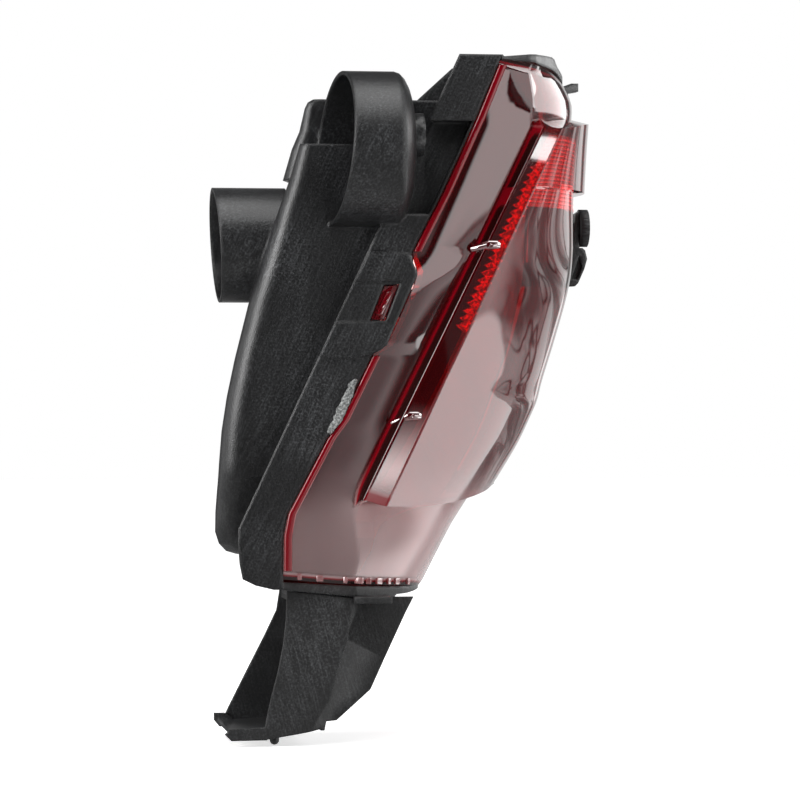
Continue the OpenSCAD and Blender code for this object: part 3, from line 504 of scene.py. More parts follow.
class Store:
    """Makes each finish's material once."""

    _made: dict[Finish, bpy.types.Material] = {}

    @classmethod
    def get(cls, finish: Finish) -> bpy.types.Material:
        """The material of a finish."""
        if finish not in cls._made:
            cls._made[finish] = finish.value.material()
        return cls._made[finish]


def hand_over(name: str, bm: bmesh.types.BMesh, finish: Finish, crease: float = 35.0) -> bpy.types.Object:
    """Turns a bmesh in millimetres into a finished piece that rides on the root.

    Args:
        name: name of the piece.
        bm: its mesh, freed here.
        finish: its finish.
        crease: angle in degrees past which an edge stays sharp.

    Returns:
        The piece.
    """
    bmesh.ops.transform(bm, matrix=Matrix.Scale(MM, 4), verts=bm.verts)
    return _settle(name, bm, finish, crease)


def _settle(name: str, bm: bmesh.types.BMesh, finish: Finish, crease: float) -> bpy.types.Object:
    """Makes the object of a bmesh in metres and dresses it."""
    mesh = bpy.data.meshes.new(name)
    for face in bm.faces:
        face.smooth = True
    bm.to_mesh(mesh)
    bm.free()
    mesh.set_sharp_from_angle(angle=math.radians(crease))
    piece = bpy.data.objects.new(name, mesh)
    bpy.context.scene.collection.objects.link(piece)
    mesh.materials.append(Store.get(finish))
    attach(piece, "root")
    LOG.info("%s: %d faces", name, len(mesh.polygons))
    return piece


def from_node(
    node: str, name: str, finish: Finish, crease: float = 35.0, weighted: bool = True
) -> bpy.types.Object:
    """Dresses a merged copy of a CAD node and puts it in the node's place.

    Args:
        node: name of the CAD node.
        name: name of the piece.
        finish: its finish.
        crease: angle in degrees past which an edge stays sharp.
        weighted: whether large faces keep their own normals.

    Returns:
        The piece.
    """
    bm = bmesh.new()
    bm.from_mesh(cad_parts[node].data)
    bmesh.ops.remove_doubles(bm, verts=bm.verts, dist=0.00001)
    piece = _settle(name, bm, finish, crease)
    if weighted:
        weigh = piece.modifiers.new("weigh", "WEIGHTED_NORMAL")
        weigh.keep_sharp = True
        weigh.weight = 80
    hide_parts(node)
    return piece


def tidy_hull(bm: bmesh.types.BMesh) -> None:
    """Drops what a hull left loose and turns its faces outward."""
    bmesh.ops.delete(bm, geom=[v for v in bm.verts if not v.link_faces], context="VERTS")
    bmesh.ops.delete(bm, geom=[e for e in bm.edges if not e.link_faces], context="EDGES")
    bmesh.ops.recalc_face_normals(bm, faces=bm.faces)


@dataclass(frozen=True)
class Outline:
    """A smooth line through a few given points, level past its ends."""

    points: tuple[tuple[float, float], ...]
    smooth: bool = True

    def _slope(self, i: int) -> float:
        """Slope at a point that keeps the line from overshooting."""
        p = self.points
        if i in (0, len(p) - 1):
            a, b = (0, 1) if i == 0 else (len(p) - 2, len(p) - 1)
            return (p[b][1] - p[a][1]) / (p[b][0] - p[a][0])
        before = (p[i][1] - p[i - 1][1]) / (p[i][0] - p[i - 1][0])
        after = (p[i + 1][1] - p[i][1]) / (p[i + 1][0] - p[i][0])
        return 0.0 if before * after <= 0 else 2 * before * after / (before + after)

    def at(self, t: float) -> float:
        """Height of the line at t."""
        p = self.points
        if t <= p[0][0]:
            return p[0][1]
        if t >= p[-1][0]:
            return p[-1][1]
        i = max(k for k in range(len(p) - 1) if p[k][0] <= t)
        width = p[i + 1][0] - p[i][0]
        u = (t - p[i][0]) / width
        if not self.smooth:
            return p[i][1] + (p[i + 1][1] - p[i][1]) * u
        m0, m1 = self._slope(i) * width, self._slope(i + 1) * width
        return (
            (2 * u**3 - 3 * u**2 + 1) * p[i][1]
            + (u**3 - 2 * u**2 + u) * m0
            + (3 * u**2 - 2 * u**3) * p[i + 1][1]
            + (u**3 - u**2) * m1
        )


@dataclass(frozen=True)
class LampForm:
    """The lens and tray outlines of the part's source, by the share s of the height and q round the lens."""

    top: float = 40.0
    height: float = 268.0
    run: float = math.tan(math.radians(25.1))
    band_left: float = -1.6
    side_y: float = -10.0
    far_y: float = 100.0
    turn_y: float = 60.0
    block_y: float = -13.0
    crease_in: float = 5.0
    first_turn: float = 25.0
    face_steps: int = 12
    pad_out: float = 6.0
    pad_z: float = -27.0
    wall: float = 2.5
    rim: Outline = Outline((
        (0, 22), (0.12, 23.8), (0.26, 24.3), (0.375, 22.9), (0.406, 30.1), (0.431, 31.6), (0.545, 32),
        (0.562, 26.9), (0.685, 26.1), (0.72, 23.6), (0.86, 21.4), (0.9, 24.4), (0.97, 33), (1, 37.5),
    ), False)
    crease: Outline = Outline(((0, 36), (0.14, 53.7), (0.8, 50), (0.95, 69.2), (1, 71.5)))
    ridge: Outline = Outline(((0, 59.9), (1, 54.7)))
    face: Outline = Outline(((0, 69.9), (1, 68.5)))
    base: Outline = Outline((
        (0.015, 60.8), (0.056, 73.4), (0.086, 79.6), (0.25, 93.2), (0.42, 111.8), (0.53, 118.3),
        (0.61, 121.2), (0.71, 123.3), (0.8, 121.5), (0.89, 117.2), (1, 115.5),
    ))
    block: Outline = Outline((
        (0.1, 83), (0.25, 100.7), (0.42, 120.8), (0.53, 126.8), (0.61, 130.2), (0.66, 132.7),
        (0.71, 132.8), (0.8, 130), (0.85, 127.6),
    ))
    bottom_edge: Outline = Outline(((0, -219), (0.2, -222), (0.6, -224), (1, -226.5), (1.3, -225)))
    top_edge: Outline = Outline(((0, 35), (0.2, 32), (0.6, 29), (1, 22), (1.3, 17)))
    block_bottom: Outline = Outline(((0.2, -187), (0.26, -184), (0.34, -187), (0.45, -187.5), (0.8, -181),
        (1, -174), (1.3, -172)))
    block_top: Outline = Outline(((0.2, 5), (0.26, 8.5), (0.34, 7.5), (0.6, 10), (1, 12), (1.3, 12)))
    chamfer: Outline = Outline(((0.2, 0.3), (0.26, 4.6), (0.34, 4.4), (1, 2.2), (1.3, 2)))

    def height_share(self, z: float) -> float:
        """Share of the tray's height at z, 0 at its top."""
        return (self.top - z) / self.height

    def z_at(self, s: float) -> float:
        """Height at a share."""
        return self.top - self.height * s

    def left_x(self, z: float) -> float:
        """The tray's leaning left edge."""
        return self.band_left + self.run * z

    def reach(self, z: float, outline: Outline) -> float:
        """X of an outline at height z."""
        return self.left_x(z) + outline.at(self.height_share(z))

    def round_share(self, j: float) -> float:
        """Share q of the way round the lens at column j."""
        stations = Outline(((0, 0), (1, 0.2), (2, 0.26), (3, 0.34)), False)
        if j <= 3:
            return stations.at(j)
        if j <= self.face_steps + 3:
            return 0.34 + 0.66 * (j - 3) / self.face_steps
        return 1.0 + 0.1 * (j - self.face_steps - 3)

    def gain_x(self, a: float) -> float:
        """Share of the reach gained at turn a."""
        first = math.sin(math.radians(self.first_turn))
        return (math.sin(math.radians(a)) - first) / (1 - first)

    def gain_y(self, a: float) -> float:
        """Share of the depth gained at turn a."""
        first = math.cos(math.radians(self.first_turn))
        return (first - math.cos(math.radians(a))) / first

    def _far(self, j: float, m: float) -> tuple[float, float]:
        """Point on the far side of the lens."""
        k = j - self.face_steps - 3
        back_x = Outline(((0, 0), (1, -1), (2, -2), (3, -4)), False).at(k)
        back_y = Outline(((0, self.turn_y), (1, self.turn_y + 24), (2, self.turn_y + 30), (3, self.far_y)), False)
        return (m + back_x, back_y.at(k))

    def base_point(self, j: float, z: float) -> tuple[float, float]:
        """Outer skin below or above the block, at column j."""
        c, m, y = self.reach(z, self.crease), self.reach(z, self.base), self.side_y + self.crease_in
        if j <= 1:
            r = self.reach(z, self.rim)
            bulge = math.sin(math.pi * j) * 0.5
            return (r + (c - r) * j, self.side_y + self.crease_in * j - bulge)
        if j <= self.face_steps + 3:
            start = self.first_turn + 5
            second = self.first_turn + 11
            a = (
                start + (second - start) * max(0.0, j - 2)
                if j < 3
                else second + (90 - second) * (j - 3) / self.face_steps
            )
            if j < 2:
                a = self.first_turn + 5 * (j - 1)
            return (c + (m - c) * self.gain_x(a), y + (self.turn_y - y) * self.gain_y(a))
        return self._far(j, m)

    def block_point(self, j: float, z: float, out: float) -> tuple[float, float]:
        """Outer skin of the raised block, at column j."""
        if j <= 1 or j >= self.face_steps + 5:
            return self.base_point(j, z)
        f, m, y = self.reach(z, self.face), self.reach(z, self.block) + out, self.block_y + 0.5
        r = (self.reach(z, self.ridge), self.block_y)
        if j < 2:
            b = self.base_point(1, z)
            return (b[0] + (r[0] - b[0]) * (j - 1), b[1] + (r[1] - b[1]) * (j - 1))
        if j < 3:
            return (r[0] + (f - r[0]) * (j - 2), r[1] + 0.5 * (j - 2))
        if j <= self.face_steps + 3:
            a = self.first_turn + (90 - self.first_turn) * (j - 3) / self.face_steps
            return (f + (m - f) * self.gain_x(a), y + (self.turn_y - y) * self.gain_y(a))
        if j <= self.face_steps + 4:
            k = j - self.face_steps - 3
            return (m - k, self.turn_y + 24 * k)
        k = j - self.face_steps - 4
        b = self.base_point(self.face_steps + 5, z)
        return (m - 1 + (b[0] - m + 1) * k, self.turn_y + 24 + (b[1] - self.turn_y - 24) * k)


FORM = LampForm()


class Zone(Enum):
    """Zones of the lens from the floor up."""

    BOTTOM_LIP = 0
    BODY = 1
    BLOCK = 2
    PAD = 3
    CROWN = 4
    TOP_LIP = 5


@dataclass
class Lens:
    """The clear red lens: its shell with the raised block, the bead along the rim, two lugs and the latch tab."""

    columns: tuple[float, ...] = tuple(
        [k / 5 for k in range(5)] + [0.94, 1.0, 1.06, 1.3, 1.6, 1.9, 1.97, 2.03, 2.1, 2.4, 2.7, 2.92, 2.98, 3.04, 3.12]
        + [3.12 + (15 - 3.12) * k / 34 for k in range(1, 35)] + [15.5, 16, 16.5, 17, 17.5, 18]
    )
    block_rows: int = 44
    lip: float = 3.0
    ledge: float = 0.5
    ribs: tuple[tuple[float, float], ...] = (
        (0.22, 2.2), (0.5, 3.4), (0.86, 2.0), (1.35, 4.6), (2.2, 2.6), (3.1, 3.4), (4.3, 2.0), (5.4, 3.2), (7.2, 2.2),
    )

    def rows(self) -> list[tuple[Zone, float]]:
        """The rows of the shell, from the floor up."""
        out = [(Zone.BOTTOM_LIP, 0.0)]
        out += [(Zone.BODY, t) for t in (0.0, 0.03, 0.2, 0.4, 0.6, 0.8, 0.93, 0.98, 1.0)]
        out += [(Zone.BLOCK, t) for t in [0.0, 0.004] + [k / self.block_rows for k in range(1, self.block_rows)]]
        out += [(Zone.BLOCK, t) for t in (0.996, 1.0)]
        out += [(Zone.PAD, t) for t in (0.0, 0.02, 0.2, 0.4, 0.6, 0.8, 0.95, 1.0)]
        out += [(Zone.CROWN, t) for t in (0.0, 0.06, 0.25, 0.5, 0.75, 0.95, 1.0)]
        return out + [(Zone.TOP_LIP, 0.0)]

    def _height(self, j: float, zone: Zone, t: float, w: float) -> float:
        """Height of a row at column j, with w into the wall."""
        q = FORM.round_share(j)
        low, high = FORM.bottom_edge.at(q), FORM.top_edge.at(q)
        foot, head = FORM.block_bottom.at(q) + w, FORM.block_top.at(q) - w
        spans = {
            Zone.BOTTOM_LIP: (low - 4.0, low - 4.0),
            Zone.BODY: (low, foot),
            Zone.BLOCK: (foot + self.ledge, FORM.pad_z + w),
            Zone.PAD: (FORM.pad_z + w + self.ledge, head - FORM.chamfer.at(q)),
            Zone.CROWN: (head, high),
            Zone.TOP_LIP: (high + 4.0, high + 4.0),
        }
        a, b = spans[zone]
        return a + (b - a) * t

    @staticmethod
    def _inward(j: float) -> tuple[float, float]:
        """Direction into the wall at column j."""
        last = FORM.face_steps + 3
        turn = Outline(((0, 0.0), (1, 0.55), (2, 0.55), (3, -0.27)), False)
        if j <= 3:
            return (turn.at(j), 1.0)
        if j <= last:
            a = math.radians(30 + 60 * (j - 3) / FORM.face_steps)
            return (-math.sin(a), math.cos(a))
        return (-1.0, -0.6 * min(1.0, j - last) if j < last + 3 else 0.0)

    def _point(self, j: float, row: tuple[Zone, float], w: float) -> Vector:
        """One vertex of the skin at w into the wall."""
        zone, t = row
        z = self._height(j, zone, t, w)
        q = FORM.round_share(j)
        flat = {Zone.BOTTOM_LIP: FORM.bottom_edge.at(q), Zone.TOP_LIP: FORM.top_edge.at(q)}.get(zone, z)
        if zone in (Zone.BLOCK, Zone.PAD):
            x, y = FORM.block_point(j, z, FORM.pad_out if zone is Zone.PAD else 0.0)
        else:
            x, y = FORM.base_point(j, flat)
        depth = w + (self.lip if zone in (Zone.BOTTOM_LIP, Zone.TOP_LIP) and j < FORM.face_steps + 5 else 0.0)
        dx, dy = self._inward(j)
        return Vector((x + dx * depth, y + dy * depth, z))

    def _skin(self, bm: bmesh.types.BMesh, w: float) -> list[bmesh.types.BMVert]:
        """One skin of the shell from a grid.

        Args:
            bm: mesh that takes it.
            w: depth into the wall.

        Returns:
            Its vertices, row by row.
        """
        rows, columns = self.rows(), self.columns
        made = bmesh.ops.create_grid(bm, x_segments=len(columns) - 1, y_segments=len(rows) - 1, size=1.0)["verts"]
        order = sorted(made, key=lambda v: (round(v.co.y, 5), round(v.co.x, 5)))
        for i, row in enumerate(rows):
            for k, j in enumerate(columns):
                order[i * len(columns) + k].co = self._point(j, row, w)
        return order

    def _thickness(self, bm: bmesh.types.BMesh, skins: Sequence[Sequence[bmesh.types.BMVert]]) -> None:
        """Marks where the line of sight runs along the wall."""
        layer = bm.verts.layers.float["thick"]
        rows, columns = self.rows(), self.columns
        for order in skins:
            for i, (zone, t) in enumerate(rows):
                for k, j in enumerate(columns):
                    wall = zone in (Zone.BLOCK, Zone.PAD) and 1.06 < j < 2.03
                    edge = zone in (Zone.BLOCK, Zone.PAD) and 2.95 < j < 3.0
                    lip = zone in (Zone.BOTTOM_LIP, Zone.TOP_LIP)
                    foot = zone is Zone.BLOCK and t < 0.03 and 2.0 <= j < 3.1
                    core = wall and j > 1.5 and t < 0.94
                    value = 1.7 if core else 1.0 if wall or foot else 0.75 if edge else 2.4 if lip else 0.0
                    order[i * len(columns) + k][layer] = value

    def shell(self) -> bmesh.types.BMesh:
        """The closed shell of both skins."""
        bm = bmesh.new()
        bm.verts.layers.float.new("thick")
        outer, inner = self._skin(bm, 0.0), self._skin(bm, FORM.wall)
        self._thickness(bm, (outer, inner))
        rim = [e for e in bm.edges if e.is_boundary]
        bmesh.ops.bridge_loops(bm, edges=rim)
        bmesh.ops.recalc_face_normals(bm, faces=bm.faces)
        return bm

    def bead(self) -> bmesh.types.BMesh:
        """The deep red bead along the housing's edge."""
        bm = bmesh.new()
        layer = bm.verts.layers.float.new("thick")
        for run in ((0.02, 0.12, 0.2, 0.26, 0.32, 0.37), (0.566, 0.62, 0.685, 0.72, 0.79, 0.86, 0.9, 0.965)):
            rings = []
            for s in run:
                z = FORM.z_at(s)
                centre = Vector((FORM.reach(z, FORM.rim) + 2.3, FORM.side_y, z))
                ring = bmesh.ops.create_circle(bm, segments=16, radius=1.0, matrix=Matrix.Identity(4))["verts"]
                for v in ring:
                    side = Vector((math.copysign(abs(v.co.x) ** 0.5, v.co.x) * 2.0,
                        math.copysign(abs(v.co.y) ** 0.6, v.co.y) * 1.5, 0.0))
                    v.co = centre + side
                    v[layer] = 1.0
                rings.append(ring)
            for a, b in zip(rings, rings[1:]):
                edges = [e for e in bm.edges if e.verts[0] in a and e.verts[1] in a]
                edges += [e for e in bm.edges if e.verts[0] in b and e.verts[1] in b]
                bmesh.ops.bridge_loops(bm, edges=edges)
            for end in (rings[0], rings[-1]):
                bmesh.ops.contextual_create(bm, geom=[e for e in bm.edges if e.verts[0] in end and e.verts[1] in end])
        bmesh.ops.recalc_face_normals(bm, faces=bm.faces)
        return bm

    def lugs(self) -> bmesh.types.BMesh:
        """The two small bars that bridge the gap between rim and block."""
        bm = bmesh.new()
        layer = bm.verts.layers.float.new("thick")
        for start, end in (((25.0, -57.5), (35.5, -55.8)), ((-15.5, -145.0), (-4.5, -141.5))):
            path = [(start[0], FORM.side_y + 2.0, start[1]), (end[0] - 4.0, FORM.block_y - 0.6, end[1]),
                (end[0], FORM.block_y - 0.2, end[1])]
            verts = []
            for centre in path:
                here = Matrix.Translation(centre) @ Matrix.Rotation(math.radians(90), 4, "X")
                for depth, radius in ((0.0, 2.0), (-1.4, 2.0), (0.5, 1.5)):
                    there = here @ Matrix.Translation((0, 0, depth))
                    verts += bmesh.ops.create_circle(bm, segments=20, radius=radius, matrix=there)["verts"]
            bmesh.ops.convex_hull(bm, input=verts)
        tidy_hull(bm)
        for v in bm.verts:
            v[layer] = 0.35
        return bm

    def foot_ribs(self) -> bmesh.types.BMesh:
        """The short locating ribs along the lens's lower edge."""
        bm = bmesh.new()
        layer = bm.verts.layers.float.new("thick")
        for j, wide in self.ribs:
            q = FORM.round_share(j)
            z = FORM.bottom_edge.at(q)
            x, y = FORM.base_point(j, z)
            dx, dy = self._inward(j)
            there = Matrix.Translation((x + 0.2 * dx, y + 0.2 * dy, z - 1.8))
            there @= Matrix.Rotation(-math.atan2(dx, dy), 4, "Z") @ Matrix.Diagonal((wide, 2.0, 3.2, 1.0))
            bmesh.ops.create_cube(bm, size=1.0, matrix=there)
        bmesh.ops.bevel(bm, geom=bm.edges[:], offset=0.45, segments=2, profile=0.5, affect="EDGES", material=-1)
        for v in bm.verts:
            v[layer] = 0.8
        return bm

    def tab(self) -> bmesh.types.BMesh:
        """The latch tab that fills the housing's window, with its carrier behind the wall."""
        bm = bmesh.new()
        layer = bm.verts.layers.float.new("thick")
        window = ((-20.9, -76.5), (-13.7, -76.0), (-20.7, -93.4), (-28.0, -93.6))
        pin = ((-19.6, -79.5), (-16.6, -79.3), (-22.2, -90.8), (-25.2, -91.0))
        carrier = ((-24.0, -78.0), (-6.0, -78.0), (-10.0, -92.0), (-26.0, -92.0))
        for outline, near, depth in ((window, FORM.side_y + 0.2, 3.6), (pin, FORM.side_y - 1.4, 2.4),
                (carrier, FORM.side_y + 2.9, 1.6)):
            ring = [bmesh.ops.create_vert(bm, co=(x, near, z))["vert"][0] for x, z in outline]
            face = bmesh.ops.contextual_create(bm, geom=ring)["faces"][0]
            grown = bmesh.ops.extrude_face_region(bm, geom=[face])["geom"]
            bmesh.ops.translate(bm, vec=(0, depth, 0), verts=[v for v in grown if isinstance(v, bmesh.types.BMVert)])
        bmesh.ops.recalc_face_normals(bm, faces=bm.faces)
        bmesh.ops.bevel(bm, geom=bm.edges[:], offset=0.35, segments=2, profile=0.5, affect="EDGES", material=-1)
        for v in bm.verts:
            v[layer] = 0.7
        return bm

    def build(self) -> None:
        """Makes the lens pieces."""
        shell = hand_over("lens_shell", self.shell(), Finish.LENS, 40.0)
        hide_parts("lens")
        hand_over("lens_bead", self.bead(), Finish.LENS, 50.0)
        hand_over("lens_lugs", self.lugs(), Finish.LUGS, 40.0)
        hand_over("lens_tab", self.tab(), Finish.LUGS, 40.0)
        hand_over("lens_foot_ribs", self.foot_ribs(), Finish.LUGS, 40.0)


@dataclass(frozen=True)
class Card:
    """A bright card bent round the object, placed by what the lens mirrors towards the camera.

    Turn and span are in degrees from the near side towards the right, height, tall and far in metres, level 1
    is white, soft is the share of the half size that fades, slope is the rise in metres from the middle to the
    right end, and folds gives the contrast of a crumpled sheet.
    """

    name: str
    turn: float
    span: float
    height: float
    tall: float
    level: float
    soft: float = 0.2
    slope: float = 0.0
    far: float = 1.5
    folds: float = 0.0

    def glow(self, g: Graph) -> None:
        """Fills the card's node tree."""
        map_uv = g.node("TexCoord", output="UV")
        across, up = map_uv.pair()
        share = across.at_most(1.0 - across).ramp(0.0, self.soft / 2) * up.at_most(1.0 - up).ramp(0.0, self.soft / 2)
        colour: object = (1.0, 1.0, 1.0)
        if self.folds:
            level = g.node("Mapping", {}, {"Vector": map_uv, "Scale": (0.3, 1.0, 1.0)})
            leant = g.node("Mapping", {}, {"Vector": level, "Rotation": (0.0, 0.0, math.radians(-48.0))})
            sheet = g.node("Mapping", {}, {"Vector": leant, "Scale": (0.5, 1.0, 1.0)})
            shades = g.speckle(120.0, 3.0, sheet, 0.9).ramp(0.38, 0.60)
            creases = (g.speckle(120.0, 1.5, sheet, 1.3) - 0.5).size().ramp(0.0, 0.035)
            depth = across.ramp(0.0, 0.22) * self.folds
            kept = 1.0 - depth * (1.0 - (shades * 0.8 + 0.2) * (creases * 0.8 + 0.2))
            colour = g.blend(kept, (0.0, 0.0, 0.0), (1.0, 1.0, 1.0))
        shine = g.node("Emission", {}, {"Color": colour, "Strength": self.level})
        gone = g.node("BsdfTransparent", {}, {"Color": (1.0, 1.0, 1.0)})
        g.finish(g.mix_shader(share, gone, shine))


CARDS = (
    Card("side_top", 46.0, 15.0, 0.12, 0.34, 1.5, 0.15),
    Card("side_low", 27.0, 18.0, -0.38, 0.36, 0.5, 0.8),
    Card("side_dark", 41.0, 14.0, -0.50, 0.22, 0.12, 0.6, far=1.62),
    Card("island_rim", 35.0, 23.0, -0.105, 0.38, 0.02, 0.08, far=1.66),
    Card("island", 36.5, 22.0, -0.11, 0.34, 2.2, 0.10, far=1.6),
    Card("face_low", 77.0, 70.0, -0.766, 0.44, 3.4, 0.05, slope=-0.076),
    Card("sheet", 102.0, 84.0, -0.22, 0.76, 1.5, 0.10, far=1.6, folds=0.97),
    Card("sheet_low", 129.0, 46.0, -0.75, 0.40, 1.1, 0.12, far=1.64, folds=0.75),
    Card("behind", 168.0, 44.0, -0.05, 1.3, 0.8, 0.3),
    Card("crown", 108.0, 62.0, 0.30, 0.56, 4.2, 0.12),
    Card("far_edge", 146.0, 9.0, -0.24, 0.20, 1.8, 0.5),
    Card("strip_foot", 12.5, 11.5, -0.27, 0.15, 5.5, 0.9),
    Card("strip_glint", 16.2, 5.0, 0.031, 0.017, 9.0, 0.04),
    Card("left_paper", -100.0, 90.0, 0.10, 1.6, 1.1, 0.5),
)


@dataclass
class Studio:
    """Camera, white ground, curtain and soft lamps."""

    aim: Vector = field(default_factory=lambda: Vector((-0.013, -0.010, -0.1335)))
    azimuth: float = -8.0
    distance: float = 1.8
    lens_mm: float = 162.0
    floor_z: float = -0.307

    def camera(self) -> None:
        """The photograph's view."""
        a = math.radians(self.azimuth)
        look = Vector((-math.sin(a), math.cos(a), 0.0))
        data = bpy.data.cameras.new("camera")
        data.lens = self.lens_mm
        data.sensor_width = 36.0
        data.clip_start = 0.05
        data.clip_end = 60.0
        eye = bpy.data.objects.new("camera", data)
        eye.location = self.aim - look * self.distance
        eye.rotation_euler = look.to_track_quat("-Z", "Y").to_euler()
        bpy.context.scene.collection.objects.link(eye)
        bpy.context.scene.camera = eye

    def softbox(self, name: str, turn: float, rise: float, far: float, size: tuple[float, float], level: float) -> None:
        """Adds a soft rectangular lamp that faces the object.

        Args:
            name: its name.
            turn: degrees from the near side towards the right.
            rise: degrees above the level of the object.
            far: distance in metres.
            size: width and height in metres.
            level: its brightness, 1 is white.
        """
        t, r = math.radians(turn), math.radians(rise)
        way = Vector((math.sin(t) * math.cos(r), -math.cos(t) * math.cos(r), math.sin(r)))
        data = bpy.data.lights.new(name, "AREA")
        data.shape = "RECTANGLE"
        data.size, data.size_y = size
        data.energy = level * math.pi * size[0] * size[1]
        lamp = bpy.data.objects.new(name, data)
        lamp.location = self.aim + way * far
        lamp.rotation_euler = (-way).to_track_quat("-Z", "Y").to_euler()
        lamp.visible_camera = False
        bpy.context.scene.collection.objects.link(lamp)

    def card(self, card: Card) -> None:
        """Hangs a bright card that only shows in glossy surfaces."""
        self._bend(card.name, (card.turn, card.span), (card.height, card.tall, card.slope), card.far, card.glow)

    def _bend(
        self,
        name: str,
        round_deg: tuple[float, float],
        upright: tuple[float, float, float],
        far: float,
        dress: Callable[[Graph], None],
    ) -> None:
        """Bends a sheet round the object, seen by glossy surfaces only.

        Args:
            name: name of the sheet.
            round_deg: its middle and its span in degrees.
            upright: height of its middle, its own height and its slope in metres.
            far: its distance.
            dress: fills its material.
        """
        bm = bmesh.new()
        bm.loops.layers.uv.verify()
        made = bmesh.ops.create_grid(bm, x_segments=40, y_segments=1, size=1.0, calc_uvs=True)["verts"]
        for v in made:
            t = math.radians(round_deg[0] + round_deg[1] / 2 * v.co.x)
            z = upright[0] + upright[1] / 2 * v.co.y + upright[2] * v.co.x
            v.co = Vector((self.aim.x + far * math.sin(t), self.aim.y - far * math.cos(t), z))
        sheet = self._stage_piece("card_" + name, bm, new_material("card_" + name, dress))
        sheet.visible_camera = sheet.visible_diffuse = sheet.visible_shadow = False

    def surround(self) -> None:
        """Bends a grey paper wall round the right."""
        self._bend("paper_wall", (84.0, 130.0), (-0.45, 1.08, 0.0), 1.8, self._paper)
        bm = bmesh.new()
        bmesh.ops.create_grid(bm, x_segments=2, y_segments=2, size=2.6, matrix=Matrix.Translation((0, 0, -1.1)))
        under = self._stage_piece("paper_under", bm, new_material("grey_under", self._under))
        under.visible_camera = under.visible_diffuse = under.visible_shadow = False

    @staticmethod
    def _under(g: Graph) -> None:
        """Grey that stands for the white floor in the lens and the reflector."""
        away = g.node("VectorMath", {"operation": "LENGTH"}, {0: g.node("TexCoord", output="Object")}, "Value")
        tone = g.blend(away.ramp(1.0, 2.6), (0.8, 0.8, 0.8), (0.3, 0.3, 0.3))
        g.finish(g.node("Emission", {}, {"Color": tone, "Strength": 0.6}))

    @staticmethod
    def _paper(g: Graph) -> None:
        """Grey that grows lighter downwards and to the right, and fades out at its edges."""
        across, up = g.node("TexCoord", output="UV").pair()
        light = (up.ramp(0.95, 0.35) * 0.5 + 0.5) * (across.ramp(0.04, 0.24) * 0.6 + 0.4)
        share = across.ramp(0.0, 0.06) * (1.0 - across).ramp(0.0, 0.1) * (1.0 - up).ramp(0.0, 0.14)
        tone = g.blend(light, (0.08, 0.08, 0.08), (1.0, 1.0, 1.0))
        shine = g.node("Emission", {}, {"Color": tone, "Strength": 1.6})
        gone = g.node("BsdfTransparent", {}, {"Color": (1.0, 1.0, 1.0)})
        g.finish(g.mix_shader(share, gone, shine))

    def ground(self) -> None:
        """White floor that keeps the shadow, and a dark curtain behind the camera."""
        bm = bmesh.new()
        bmesh.ops.create_grid(bm, x_segments=2, y_segments=2, size=6.0, matrix=Matrix.Translation((0, 0, self.floor_z)))
        floor = self._stage_piece("floor", bm, new_material("white_floor", self._floor))
        floor.visible_glossy = False
        bm = bmesh.new()
        back = Matrix.Translation((-0.35, -3.1, -0.1)) @ Matrix.Rotation(math.radians(90), 4, "X")
        bmesh.ops.create_grid(bm, x_segments=2, y_segments=2, size=1.0, matrix=back @ Matrix.Diagonal((1.1, 1.3, 1, 1)))
        curtain = self._stage_piece("curtain", bm, new_material("black_cloth", self._cloth))
        curtain.visible_camera = False
        curtain.visible_shadow = False

    @staticmethod
    def _stage_piece(name: str, bm: bmesh.types.BMesh, material: bpy.types.Material) -> bpy.types.Object:
        """Makes an object of the stage."""
        mesh = bpy.data.meshes.new(name)
        bm.to_mesh(mesh)
        bm.free()
        made = bpy.data.objects.new(name, mesh)
        mesh.materials.append(material)
        bpy.context.scene.collection.objects.link(made)
        return made

    @staticmethod
    def _floor(g: Graph) -> None:
        """White by its own light, darker where the object shades it."""
        away = g.node("VectorMath", {"operation": "LENGTH"}, {0: g.node("TexCoord", output="Object")}, "Value")
        glow = g.blend(away.ramp(0.35, 1.1), (0.62, 0.62, 0.62), (1.0, 1.0, 1.0))
        shine = g.node("Emission", {}, {"Color": glow, "Strength": 1.06})
        matt = g.node("BsdfDiffuse", {}, {"Color": (0.8, 0.8, 0.8)})
        g.finish(g.node("AddShader", {}, {0: shine, 1: matt}))

    @staticmethod
    def _cloth(g: Graph) -> None:
        """Black cloth."""
        g.finish(g.node("BsdfDiffuse", {}, {"Color": (0.012, 0.012, 0.012)}))

    def world(self) -> None:
        """White where the camera sees it, dimmer as a light."""
        world = bpy.data.worlds.new("studio")
        bpy.context.scene.world = world
        g = Graph(world)
        ray = g.node("LightPath", output="Is Camera Ray")
        dim = g.node("Background", {}, {"Color": (1.0, 1.0, 1.0), "Strength": 0.1})
        white = g.node("Background", {}, {"Color": (1.0, 1.0, 1.0), "Strength": 1.0})
        g.node("OutputWorld", {}, {"Surface": g.mix_shader(ray, dim, white)})

    def build(self) -> None:
        """Sets the whole studio up."""
        bpy.context.scene.view_settings.view_transform = "Standard"
        self.camera()
        self.ground()
        self.world()
        self.softbox("right", 70.0, 25.0, 1.5, (0.9, 0.9), 5.0)
        self.surround()
        for card in CARDS:
            self.card(card)
        self.softbox("overhead", 10.0, 78.0, 1.3, (1.3, 1.1), 3.2)
        self.softbox("left_strip", -70.0, 14.0, 1.5, (0.6, 1.3), 11.0)
        self.softbox("front_top", -20.0, 48.0, 1.6, (0.7, 0.30), 2.6)


